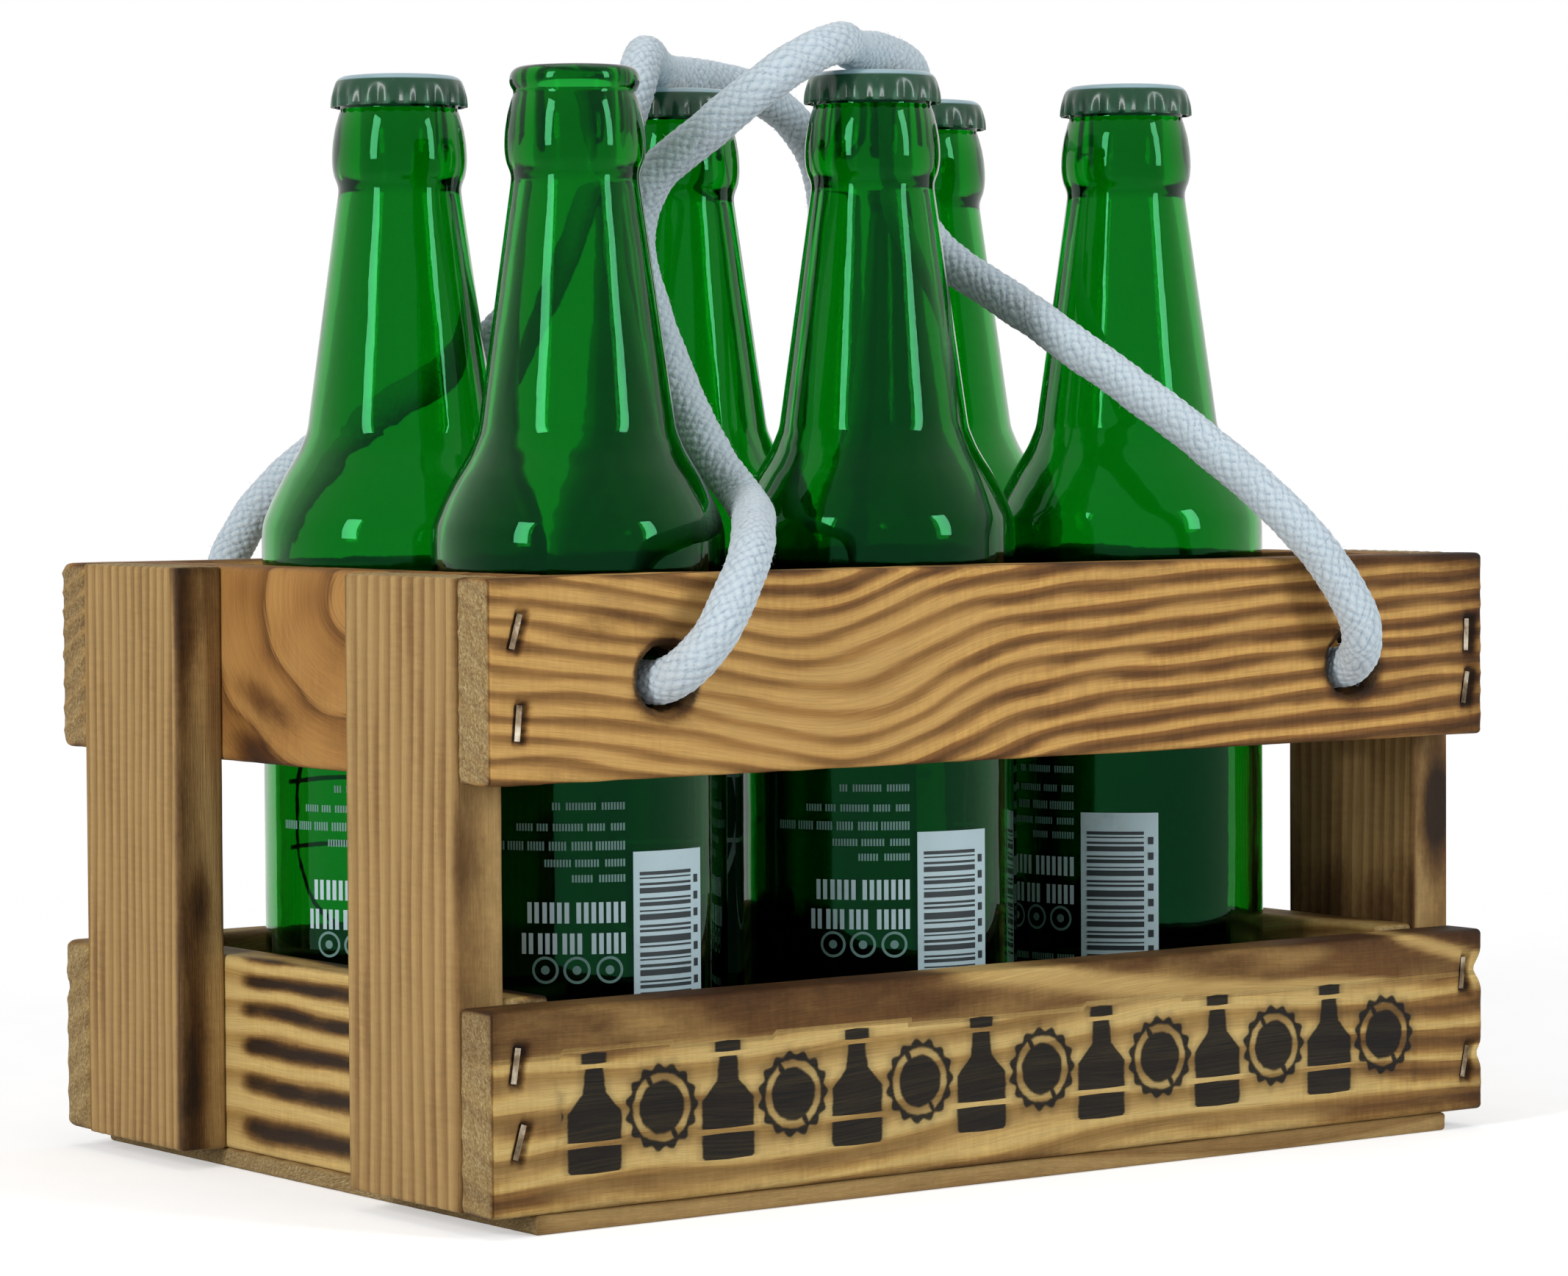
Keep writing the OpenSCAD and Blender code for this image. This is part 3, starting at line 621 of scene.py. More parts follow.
def board(name, node, mat, slot, lo, hi, grain, fn, r=1.0, step=1.0, relief=0.35, holes=(), dents=(), fine=None,
          cut=None):
    """A board as a fine lattice box with rounded edges, whose soft bands are worn down a little between the hard lines.
    grain is the axis that the fibres run along. fn(P) gives ring, across, depth, burn, scorch at points in mm."""
    lo, hi = np.array(lo, float), np.array(hi, float)
    fine = fine or {}
    T = [ticks(lo[i], hi[i], r, step, fine.get(i, ())) for i in range(3)]
    n = [len(t) for t in T]
    I = np.indices(n)
    on = (I[0] == 0) | (I[0] == n[0] - 1) | (I[1] == 0) | (I[1] == n[1] - 1) | (I[2] == 0) | (I[2] == n[2] - 1)
    idx = -np.ones(n, int)
    idx[on] = np.arange(on.sum())
    ii, jj, kk = I[0][on], I[1][on], I[2][on]
    P = np.stack([T[0][ii], T[1][jj], T[2][kk]], 1)
    c = np.clip(P, lo + r, hi - r)
    d = P - c
    ln = np.linalg.norm(d, axis=1)
    P = c + d * (r / np.maximum(ln, 1e-6))[:, None]
    N = d / np.maximum(ln, 1e-6)[:, None]
    faces = []

    def quads(a, flip):
        q = np.stack([a[:-1, :-1], a[1:, :-1], a[1:, 1:], a[:-1, 1:]], -1).reshape(-1, 4)
        faces.append(q[:, ::-1] if flip else q)

    quads(idx[0, :, :], True); quads(idx[-1, :, :], False)
    quads(idx[:, 0, :], False); quads(idx[:, -1, :], True)
    quads(idx[:, :, 0], True); quads(idx[:, :, -1], False)
    faces = np.vstack(faces)
    extra_f, extra_v, extra_n = [], [], []
    nv = len(P)
    for hx, hz in holes:                            # holes run through the thickness, Y
        X, Z = T[0][ii] - hx, T[2][kk] - hz
        mx = np.maximum(np.abs(X), np.abs(Z))
        face_v = (jj == 0) | (jj == n[1] - 1)
        rad = np.hypot(X, Z)
        rim = HOLE_R + MOUTH_R                      # the square HOLE_IN becomes the rim, and the square HOLE_OUT a ring
        new = rim + (mx - HOLE_IN) / (HOLE_OUT - HOLE_IN) * (rad * HOLE_OUT / np.maximum(mx, 1e-6) - rim)
        moved = face_v & (mx <= HOLE_OUT) & (mx > 0)
        kf = new / np.maximum(rad, 1e-6)
        P[:, 0] = np.where(moved, hx + X * kf, P[:, 0])
        P[:, 2] = np.where(moved, hz + Z * kf, P[:, 2])
        faces = faces[~(face_v & (mx < HOLE_IN - 0.01))[faces].any(1)]
        loop = np.where((np.abs(mx - HOLE_IN) < 0.01) & (jj == 0))[0]
        loop = loop[np.argsort(np.arctan2(Z[loop], X[loop]))]
        an = np.arctan2(Z[loop], X[loop])
        y0, y1 = lo[1], hi[1]
        curve = [(q, HOLE_R + MOUTH_R - MOUTH_R * math.sqrt(1 - (1 - q) ** 2)) for q in (0.08, 0.3, 0.6, 1.0)]
        rings = [(y0 + MOUTH_R * q, rr) for q, rr in curve]
        rings += [(y0 + MOUTH_R + (y1 - y0 - 2 * MOUTH_R) * q, HOLE_R) for q in np.linspace(0.15, 0.85, 6)]
        rings += [(y1 - MOUTH_R * q, rr) for q, rr in curve[::-1]]
        loops = [loop]
        for yy, rr in rings:
            jag = rr + 0.16 * np.sin(9 * an + yy) + 0.1 * np.sin(17 * an - 2 * yy)
            extra_v.append(np.stack([hx + jag * np.cos(an), np.full(len(an), yy), hz + jag * np.sin(an)], 1))
            extra_n.append(np.stack([-np.cos(an), 0 * an, -np.sin(an)], 1))
            loops.append(nv + np.arange(len(an)))
            nv += len(an)
        loops.append(np.array([idx[ii[v], n[1] - 1, kk[v]] for v in loop]))
        for a, b in zip(loops[:-1], loops[1:]):
            extra_f += zip(a, np.roll(a, -1), np.roll(b, -1), b)
    box_n = len(P)
    if extra_v:
        P = np.vstack([P] + extra_v)
        N = np.vstack([N] + extra_n)
    info = fn(P)
    ring, across, depth, burn, scorch_and_shade = [np.broadcast_to(np.asarray(v, float), len(P)).copy() for v in info]
    endg = np.clip((np.abs(N[:, grain]) - 0.55) / 0.35, 0, 1)
    along = P[:, grain].copy()
    f = ring - np.floor(ring)
    # hard line at the end of each ring stays proud, the soft band behind it is worn
    worn = step01(f, 0.0, 0.16) * (1 - step01(f, 0.62, 0.95))
    dep = (relief * (0.10 + 0.90 * endg) * (0.3 + 0.7 * burn) * worn
           + 0.10 * relief * (1 + wob(along, across, 5, 100 / 3, 5)))
    dep[box_n:] = 0
    for px, pz, tilt, axis, face, deep in dents:    # crushed pockets with the staples' crowns in them
        ca, sa = math.cos(math.radians(tilt)), math.sin(math.radians(tilt))
        ua, va = {0: (1, 2), 1: (0, 2), 2: (0, 1)}[axis]
        X, Z = P[:, ua] - px, P[:, va] - pz
        a = np.abs(X * sa + Z * ca)
        b = np.abs(X * ca - Z * sa)
        side_on = (np.abs(N[:, axis]) > 0.9) & (np.sign(N[:, axis]) == face) & (np.arange(len(P)) < box_n)
        m = (1 - step01(a, 3.5, 4.9)) * (1 - step01(b, 0.8, 2.2)) * side_on
        dep += deep * m
        # each crushed pocket and a soft band round it are darkened: painted shade in and round the hollow
        scorch_and_shade += (0.42 * m * (1 + 0.5 * np.sin(1.9 * P[:, ua] + 2.7 * P[:, va]))
                   + 0.42 * side_on * np.exp(-(np.maximum(a - 3.6, 0) / 1.5) ** 2
                                             - (np.maximum(b - 1.0, 0) / 1.4) ** 2))
    P = P - N * dep[:, None]
    scorch_and_shade *= 1 - 0.55 * endg
    # the walls of the rope holes are darkened near black: painted shade inside the holes
    scorch_and_shade[box_n:] = np.maximum(scorch_and_shade[box_n:], 0.95)
    if cut is not None:
        P = cut(P)
    # grain coordinates: the fibres follow the ring lines
    gr = np.stack([along, across, depth], 1)
    tone = np.stack([np.clip(burn, 0, 1), np.clip(scorch_and_shade, -1, 2), endg], 1)
    F = faces.tolist() + [tuple(q) for q in extra_f]
    return stands_for(mesh_object(name, P, F, mat, "crate", {"gr": gr, "ring": ring, "tone": tone}), node)


def edges(v, lo, hi, w):
    """1 at either edge of a board, 0 further in than w."""
    return np.exp(-np.minimum(np.abs(v - lo), np.abs(hi - v)) / w)


def front_upper(P):
    x, y, z = P.T
    s = x + 58 - (127 - z) * 0.375
    h = smooth(s, [-90, -60, -35, -20, -8, 0, 8, 20, 32, 45, 60, 90, 190],
               [12, 9, 5.2, 2.4, 0.4, 0, 0.7, 3.6, 7.4, 11, 13, 15, 20])
    dep = y + HALF_D
    lv = TOP - (z - h) + 0.45 * dep
    ring = lv / 4.6 + 0.42 * gauss(x + 36, z - 106, 34, 34) * np.tanh((z - 106) / 10) + 0.10 * wob(x, z, 3, 60, 30)
    ring = ring + 0.08 * step01(-x, 45, 85) * wob(x, z, 12, 60, 11)
    eye = gauss(x + 42, (z - 104) - 0.25 * (x + 42), 30, 12)
    burn = (0.86 - 0.70 * eye - 0.30 * gauss(x + 50, z - 94, 40, 16) + 0.16 * step01(x, 20, 110)
            - 0.36 * step01(-x, 50, 80))
    burn = burn + 0.2 * edges(z, UP_SLAT, TOP, 2.5) + 0.16 * wob(x, z, 6, 40, 14)
    sc = (0.06 + 0.26 * step01(x, 70, HALF_L) + 0.38 * np.exp(-(HALF_L - x) / 7)
          + 0.18 * step01(x, -30, 40) * step01(z, 112, 127))
    sc += 0.42 * edges(z, UP_SLAT, TOP, 1.6) + 0.25 * np.exp(-(x + HALF_L) / 4) + 0.10 * wob(x, z, 8, 45, 25)
    dl, dr = [np.hypot(x - hx, z - hz) for hx, hz in HOLES["front"]]
    low = 0.55 + 0.45 * step01(-(z - 107), -1, 6)
    sc += 0.62 * low * np.exp(-np.maximum(dl - 8.3, 0) / 1.4) + 0.60 * low * np.exp(-np.maximum(dr - 8.3, 0) / 1.8)
    sc += spots(x, z, ((0.26, -108, 115, 18, 5), (0.16, -112, 101, 14, 3), (0.35, -86, 98, 12, 3.5),
                       (0.24, -104, 121, 20, 5), (0.18, -66, 116, 16, 5), (0.16, 6, 119, 18, 4),
                       (0.22, -118, 92, 14, 4)))
    sc += 0.5 * np.exp(-(y + HALF_D) / 1.0) * (x < 0.7 - HALF_L) - 0.25 * eye
    return ring, lv, dep, burn, sc


def front_lower(P):
    x, y, z = P.T
    dep = y + HALF_D
    lv = LOW_SLAT - z + 0.030 * (x + HALF_L) + 1.6 * np.sin(x / 33 + 0.5) * step01(x, -HALF_L, -60) + 0.3 * dep
    lv = lv + 1.0 * wob(x, z, 14, 130, 40)
    brow = 34.2 + 0.8 * wob(x, 0 * x, 35, 120, 1, 3)            # above this height the board is one broad brown band
    top = step01(z, brow, brow + 1.2)
    ring = np.where(z > brow + 0.6, 9.30 + 0.05 * wob(x, z, 36, 70, 9), lv / 6.9)
    mid = smooth(x, [-24, -14, 8, 26, 48, 80, 112], [46, 44.6, 41.8, 38.8, 36.6, 35.2, 34.0])
    thick = np.interp(x, [-24, 10, 60, 115], [2.6, 2.4, 1.3, 0.7])
    wedge = np.exp(-((z - mid) / thick) ** 2) * step01(x, -24, -8) * (1 - step01(x, 96, 118))
    wedge = wedge + np.exp(-((z - 44.6 + 0.27 * (x - 103)) / 1.9) ** 2) * step01(x, 98, 108)
    burn = (0.42 + 0.42 * top + 0.55 * step01(x, 60, 122) + 0.30 * np.exp(-(x + HALF_L) / 20) - 1.3 * wedge * top
            + 0.14 * wob(x, z, 31, 60, 12))
    burn = burn + 0.25 * step01(-z, -14, -6)
    sc = (0.08 + 0.20 * top - 0.45 * wedge + 0.42 * edges(z, FOOT, LOW_SLAT, 1.5) + 0.24 * step01(x, 92, HALF_L)
          + 0.34 * np.exp(-(HALF_L - x) / 3.5))
    sc += 0.16 * gauss(x + 60, z - 39, 70, 4) + 0.5 * np.exp(-(y + HALF_D) / 1.0) * (x < 0.7 - HALF_L)
    for z0, hgt in ((35.5, 2.4), (16.5, 2.0)):
        torn = gauss(x - 129.5, z - z0, 3.4, hgt)
        burn, sc = burn - 1.4 * torn, sc - 1.1 * torn
    sc += (0.34 * np.exp(-(x + HALF_L) / 2.5) + 0.12 * gauss(x + 112, z - 26, 12, 9) + 0.14 * (1 - step01(z, 4, 11))
           + 0.08 * wob(x, z, 33, 50, 18))
    return ring, lv, dep, burn, sc


def plain_slat(seed, z0, z1, face, pitch=5.2, amount=0.6, tone=0.12):
    def fn(P):
        x, y, z = P.T
        dep = np.abs(y - face)
        lv = z1 - z + 3.2 * wob(x, 0 * x, seed, 150, 1, 4) + 1.0 * wob(x, z, seed + 1, 80, 50) + 0.5 * dep
        burn = amount + 0.25 * wob(x, z, seed + 2, 90, 30) + 0.25 * step01(np.abs(x), 80, HALF_L)
        sc = (tone + 0.30 * edges(z, z0, z1, 1.6) + 0.30 * edges(x, -HALF_L, HALF_L, 5)
              + 0.12 * wob(x, z, seed + 3, 60, 25))
        if z1 > 100:
            for hx, hz in HOLES["back"]:
                sc = sc + 0.6 * np.exp(-np.maximum(np.hypot(x - hx, z - hz) - 8.5, 0) / 2.0)
        return lv / pitch, lv, dep, burn, sc
    return fn


def post(seed, side_x, y0, y1, lines, tone=0.12, flame=None):
    """Upright post: fine vertical lines."""
    def fn(P):
        x, y, z = P.T
        dep = np.abs(x - side_x * HALF_L)
        lv = (y - y0) + 0.012 * (z - 60) + 0.5 * wob(z, y, seed, 160, 60) + 0.35 * dep
        ring = lv / lines
        burn = 0.50 + 0.22 * wob(z, y, seed + 1, 90, 18)
        sc = tone + 0.34 * edges(y, y0, y1, 1.3) + 0.25 * edges(z, FOOT, TOP, 2.5) + 0.10 * wob(z, y, seed + 2, 60, 20)
        if flame is not None:
            sc = sc + flame(x, y, z)
        return ring, lv, dep, burn, sc
    return fn


def left_upper(P):
    x, y, z = P.T
    dep = np.abs(x + END_OUT)
    rr = np.hypot((y + 23) / 1.6, z - 122) + 0.5 * dep
    ring = rr / 15.5 + 0.42 + 0.06 * wob(y, z, 61, 40, 30)
    burn = 0.45 + 0.2 * wob(y, z, 62, 40, 30)
    sc = (0.12 + 0.70 * gauss(y - 16, z - 99 - 0.3 * (y - 16), 13, 4.6)
          + 0.80 * gauss(y - 21, z - 89 - 0.25 * (y - 21), 11, 4.2) + 0.36 * edges(z, UP_END, TOP, 1.6))
    return ring, rr, dep, burn, sc + 0.3 * edges(y, -INNER_D, INNER_D, 3)


def left_lower(P):
    x, y, z = P.T
    dep = np.abs(x + END_OUT)
    lv = LOW_END - z + 0.4 * wob(y, z, 71, 50, 30) + 0.4 * dep
    ring = np.interp(lv, [-2, 4.7, 11, 18.5, 26.4, 35.8, 44], [-0.75, 0.3, 1.3, 2.3, 3.3, 4.3, 5.1])
    fade = step01(-y, -31, -22)
    f = ring - np.floor(ring)
    dark = np.exp(-np.abs((f - 0.30) / 0.27) ** 2.6) * fade * (1 + 0.10 * wob(y, z, 74, 25, 14))
    burn = 0.25 + 0.35 * fade
    sc = 0.08 + 1.10 * dark + 0.34 * edges(z, FOOT, LOW_END, 1.2) + 0.06 * wob(y, z, 73, 30, 12)
    return ring, lv, dep, burn, sc


def end_board(seed, side_x, z0, z1, pitch=6.0):
    def fn(P):
        x, y, z = P.T
        dep = np.abs(x - side_x * END_OUT)
        lv = z1 - z + 2.0 * wob(y, z, seed, 110, 60) + 0.45 * dep
        burn = 0.5 + 0.25 * wob(y, z, seed + 1, 60, 20)
        sc = (0.14 + 0.3 * edges(z, z0, z1, 1.4) + 0.25 * edges(y, -INNER_D, INNER_D, 4)
              + 0.14 * wob(y, z, seed + 2, 50, 20))
        return lv / pitch, lv, dep, burn, sc
    return fn


def base_fn(P):
    x, y, z = P.T
    lv = y + 90 + 5 * wob(x, y, 91, 260, 160) + 1.5 * z
    burn = 0.4 + 0.2 * wob(x, y, 92, 90, 50)
    sc = 0.12 + 0.25 * edges(x, -END_OUT, END_OUT, 2.5) + 0.2 * edges(y, -85.6, 85.6, 2.0)
    return lv / 11.0, lv, z, burn, sc


front_staples = [(-123.6, 117.2, 16), (-123.2, 99.5, 5), (126.9, 109.5, 2), (126.6, 97.9, 10)]
front_low = [(-123.6, 18.5, 17), (-124.4, 33.3, 9), (125.7, 34.6, 6), (126.4, 14.9, 12)]
dense = {0: ((-130, -117, 0.5), (118, 130, 0.5))}


def chipped_low(P):
    """Torn corner chips at the right end of the lower slat."""
    P = P.copy()
    for z0, depth, hgt in ((35.5, 2.4, 2.4), (16.5, 1.4, 1.8)):
        m = np.exp(-((P[:, 2] - z0) / hgt) ** 2) * step01(P[:, 0], 125, HALF_L) * (1 - step01(P[:, 1], -86, -80))
        P[:, 0] -= depth * m
    return P


board("front_upper_slat_wood", "front_upper_slat", scorched_wood, "scorched_wood",
      (-HALF_L, -HALF_D, UP_SLAT), (HALF_L, -INNER_D, TOP), 0, front_upper,
      r=1.3, relief=0.5, holes=HOLES["front"], dents=[s + (1, -1, 1.55) for s in front_staples], fine=dense)
board("front_lower_slat_wood", "front_lower_slat", stencil_wood, "pale_wood",
      (-HALF_L, -HALF_D, FOOT), (HALF_L, -INNER_D, LOW_SLAT), 0, front_lower,
      r=1.3, relief=0.28, dents=[s + (1, -1, 1.55) for s in front_low], fine=dense, cut=chipped_low)
back_up = [(-124.0, 116.3, 8), (-125.2, 97.9, -4), (124.6, 115.1, -12), (125.9, 97.0, 6)]
back_low = [(-125.0, 27.5, -7), (-124.3, 13.1, 10), (125.4, 28.7, 5), (124.8, 12.7, -9)]


def grooved(P):
    """The groove along the outside of the back lower board."""
    P = P.copy()
    dz = P[:, 2] - 34.6
    deep = np.sqrt(np.maximum(2.6**2 - dz**2, 0))
    out = P[:, 1] > 81.5
    P[:, 1] = np.where(out, np.minimum(P[:, 1], HALF_D - deep), P[:, 1])
    return P


board("back_upper_slat_wood", "back_upper_slat", scorched_wood, "scorched_wood",
      (-HALF_L, INNER_D, UP_SLAT), (HALF_L, HALF_D, TOP), 0, plain_slat(101, UP_SLAT, TOP, HALF_D, 4.9, 0.7, 0.2),
      r=2.4, relief=0.42, holes=HOLES["back"], dents=[s + (1, 1, 1.55) for s in back_up], fine=dense)
board("back_lower_slat_wood", "back_lower_slat", pale_wood, "pale_wood",
      (-HALF_L, INNER_D, FOOT), (HALF_L, HALF_D, LOW_END), 0, plain_slat(111, FOOT, LOW_END, HALF_D, 6.5, 0.45),
      r=2.4, relief=0.36, dents=[s + (1, 1, 1.55) for s in back_low], fine={0: dense[0], 2: ((31.5, 37.7, 0.4),)},
      cut=grooved)
in_rows = {"upper": (UP_END + 0.23 * WIDTH, UP_END + 0.75 * WIDTH), "lower": (FOOT + 0.24 * WIDTH, FOOT + 0.76 * WIDTH)}
for side, sx in (("left", -1), ("right", 1)):
    for level, z0, z1 in (("upper", UP_END, TOP), ("lower", FOOT, LOW_END)):
        fn = {("left", "upper"): left_upper, ("left", "lower"): left_lower,
              ("right", "upper"): end_board(121, 1, z0, z1, 5.5),
              ("right", "lower"): end_board(131, 1, z0, z1, 7.5)}[side, level]
        x0, x1 = (END_IN, END_OUT) if sx > 0 else (-END_OUT, -END_IN)
        dn = [(sy * 58.2, zz, 8 * sy * sx, 0, -sx, 0.65) for zz in in_rows[level] for sy in (-1, 1)]
        wood = (arched_wood, "brushed_wood") if level == "upper" else (pale_wood, "pale_wood")
        board(f"{side}_{level}_end_wood", f"{side}_{level}_end", *wood, (x0, -INNER_D, z0), (x1, INNER_D, z1), 1, fn,
              r=1.2, relief=0.32, dents=dn)


def flame_back_left(x, y, z):
    inner = step01(-y, -37.5, -34.5)                    # the face that looks forward, past the end boards
    return inner * (0.30 * gauss(z - 112, x + 128.5, 18, 2.4) + 0.55 * gauss(z - 57, x + 126, 9, 3)
                    + 0.62 * gauss(z - 18, x + 128, 20, 2.6)
                    + 0.42 * np.exp(-(x + HALF_L) / 1.2) - 0.25 * gauss(x + 122.8, z - 70, 2.4, 60))


def flame_front_left(x, y, z):
    return 0.30 * gauss(z - 70, x + HALF_L, 16, 6) * step01(-y, 70, 74.5) + 0.16 * np.exp(-np.abs(y + 33.6) / 1.5)


def flame_front_right(x, y, z):
    front = step01(-y, 71.5, 74.5)
    inner = step01(-x, -121.5, -120.4)
    return front * (1.05 * gauss(z - 70, x - 127.5, 13, 4.5) + 0.02) + inner * (0.16 + 0.5 * step01(-z, -66, -46))


def flame_back_right(x, y, z):
    return 0.22 * step01(-x, -121.5, -120.4) + 0.2 * step01(-y, -35.5, -33.6)


post_rows = {
    ("front", "left"): (-HALF_L, -INNER_D, 141, 4.1, 0.06, flame_front_left),
    ("back", "left"): (-HALF_L, POST_IN, 151, 3.3, 0.10, flame_back_left),
    ("front", "right"): (END_OUT, -INNER_D, 161, 3.4, 0.06, flame_front_right),
    ("back", "right"): (END_OUT, POST_IN, 171, 3.4, 0.20, flame_back_right)}
for (fb, lr), (x0, y0, seed, pitch, tone, fl) in post_rows.items():
    board(f"{fb}_{lr}_post_wood", f"{fb}_{lr}_post", brushed_wood, "brushed_wood",
          (x0, y0, FOOT), (x0 + 10.7, y0 + WIDTH, TOP), 2,
          post(seed, -1 if x0 < 0 else 1, y0, y0 + WIDTH, pitch, tone, fl), r=0.8, relief=0.16)
base_dents = [(x * HALF_L, sy * 80.5, 90, 2, -1, 0.65) for x in (-0.75, -0.26, 0.24, 0.73) for sy in (-1, 1)]
base_dents += [(sx * 114.95, y * HALF_D, 0, 2, -1, 0.65) for y in (-0.53, 0.55) for sx in (-1, 1)]
board("base_board_wood", "base_board", base_wood, "base_wood", (-END_OUT, -85.6, 0), (END_OUT, 85.6, 4), 0, base_fn,
      r=0.9, step=1.5, relief=0.18, dents=base_dents)


# ---- glass
def make_glass():
    m = Nodes("green_glass")
    co = m.place()
    wave = m.noise(m.scale(co, (1, 1, 0.45)), 55, 2, 0.5)
    fine = m.noise(m.scale(co, (1, 1, 0.6)), 230, 2, 0.5)
    m.set(Base_Color=rgb(74, 176, 88), Roughness=0.012, IOR=1.5, Transmission_Weight=1.0,
          Specular_Tint=(0.09, 0.55, 0.24, 1))
    m.set(Normal=m.bump(m.add(wave, m.mul(fine, 0.10)), 0.0012, 0.2))
    # thick glass, as in the collar and the foot, is darker
    vol = m.node("VolumeAbsorption", (("Color", (0.0, 0.84, 0.38, 1)), ("Density", 400)))
    m.put(m.out.inputs["Volume"], vol.outputs[0])
    return m.mat


glass = make_glass()
BODY_R = 30.25
# outline of a bottle, (radius, height): outside from the punt to the lip, inside from the lip to the bottom
OUT = [(0, 4), (10, 3.7), (18.2, 2.4), (22.7, 0.8), (23.9, 0.25), (25.0, 0.0), (27.25, 0.0), (28.4, 0.23), (29.4, 0.9),
       (30.02, 1.9), (BODY_R, 3), (BODY_R, 130), (29.9, 132.6), (28.9, 135), (27.8, 137.5), (26.5, 140), (25.1, 142.6),
       (23.5, 145.2), (22.05, 147.7), (21.1, 150), (20.3, 152), (13.1, 203.5), (13.5, 205), (14.1, 206.4),
       (14.45, 208.5), (14.5, 210.8), (14.3, 213.5), (13.8, 216.5), (13, 219.4), (12.6, 220.4), (12.6, 221.1),
       (13, 221.7), (13.35, 222.6), (13.4, 223.4), (13.2, 224.5), (12.6, 225.4), (11.7, 225.9), (11, 226)]
INN = [(10.1, 225.9), (9.3, 225.5), (8.5, 224.7), (8.2, 223.6), (8.3, 218), (8.5, 212), (10.7, 202), (17.9, 151.5),
       (18.7, 149.6), (19.7, 147.2), (21.1, 144.6), (22.7, 142), (24.1, 139.4), (25.4, 136.9), (26.5, 134.4),
       (27.5, 132), (27.85, 129.4), (27.85, 8), (27.3, 5.6), (26.0, 4.2), (23.5, 4.0), (18, 5.3), (10, 6.7), (0, 7.0)]


def rounded_profile(pts, gap=3.0, rounds=2):
    """Long runs split up, then corners cut twice, so that everything is as soft as blown glass."""
    p = [np.array(pts[0], float)]
    for q in pts[1:]:
        q = np.array(q, float)
        n = max(1, int(math.ceil(np.linalg.norm(q - p[-1]) / gap)))
        a = p[-1]
        p += [a + (q - a) * k / n for k in range(1, n + 1)]
    p = np.array(p)
    for _ in range(rounds):
        mid = np.empty((2 * (len(p) - 1), 2))
        mid[0::2] = 0.75 * p[:-1] + 0.25 * p[1:]
        mid[1::2] = 0.25 * p[:-1] + 0.75 * p[1:]
        p = np.vstack([p[:1], mid, p[-1:]])
    keep = [0]
    for i in range(1, len(p) - 1):
        a, b, c = p[keep[-1]], p[i], p[i + 1]
        turn = abs(np.cross(b - a, c - b)) / (np.linalg.norm(b - a) * np.linalg.norm(c - b) + 1e-9)
        if turn > 0.004 or np.linalg.norm(b - a) > 9:
            keep.append(i)
    return p[keep + [len(p) - 1]]


def revolve(rings, cx, cy, seg):
    """Skin round an upright axis. rings are (radius, height): one radius or one for each angle, and 0 is a point."""
    th = np.linspace(0, 2 * math.pi, seg, endpoint=False)
    V, rows, F = [], [], []
    for r, z in rings:
        if np.max(r) < 1e-6:
            rows.append([len(V)] * seg)
            V.append((cx, cy, z))
        else:
            rows.append(range(len(V), len(V) + seg))
            V += zip(cx + r * np.cos(th), cy + r * np.sin(th), np.full(seg, z))
    for a, b in zip(rows[:-1], rows[1:]):
        for j in range(seg):
            k = (j + 1) % seg
            q = tuple(dict.fromkeys((a[j], a[k], b[k], b[j])))
            if len(q) > 2:
                F.append(q)
    return V, F


def bottle(place, cx, cy):
    prof = rounded_profile(OUT + INN)
    prof[0, 0] = prof[-1, 0] = 0
    V, F = revolve([(r, z + FOOT) for r, z in prof], cx, cy, 112)
    stands_for(mesh_object(f"{place}_glass", V, F, glass, f"{place}_drink"), f"{place}_bottle")


# ---- prints
def make_paint(name, col):
    m = Nodes(name)
    co = m.place()
    n = m.noise(co, 700, 3, 0.6)
    wear = m.noise(co, 180, 4, 0.65)
    c = m.mix(m.remap(wear, 0.55, 0.8, 0, 0.35), rgb(*col), rgb(*[v * 0.72 for v in col]))
    m.set(Base_Color=c, Roughness=0.5, Specular_IOR_Level=0.4, Normal=m.bump(n, 0.0001, 0.3))
    return m.mat


inks = [make_paint("label_pale_paint", (178, 202, 208)), make_paint("label_grey_paint", (104, 140, 134)),
        make_paint("label_bar_paint", (24, 36, 40)), make_paint("label_green_paint", (14, 62, 38))]
PALE, GREY, DARK, GREEN = range(4)
BAR_WIDTHS = (0.7, 0.3, 0.5, 1.1, 0.4, 0.8, 0.3, 1.2, 0.5, 0.5, 1.4, 0.4, 0.9, 0.3, 0.6, 1.2, 0.4, 0.7, 0.3, 1.0, 0.5)
BAR_GAPS = (0.45, 0.8, 0.5, 0.95)
# rows of dashes: height above the table, height and length of the row, ink
DASH_ROWS = ((81.4, 1.5, 14, GREY), (77.2, 1.5, 22, GREY), (73.6, 1.8, 30, GREY), (70.0, 1.5, 16, GREY),
             (66.9, 1.5, 10, GREY),
             (61.4, 4.2, 20, PALE), (55.2, 4.2, 21, PALE), (39.9, 1.5, 19, GREY))
FAR = math.pi * BODY_R          # arc length to the other side of the bottle


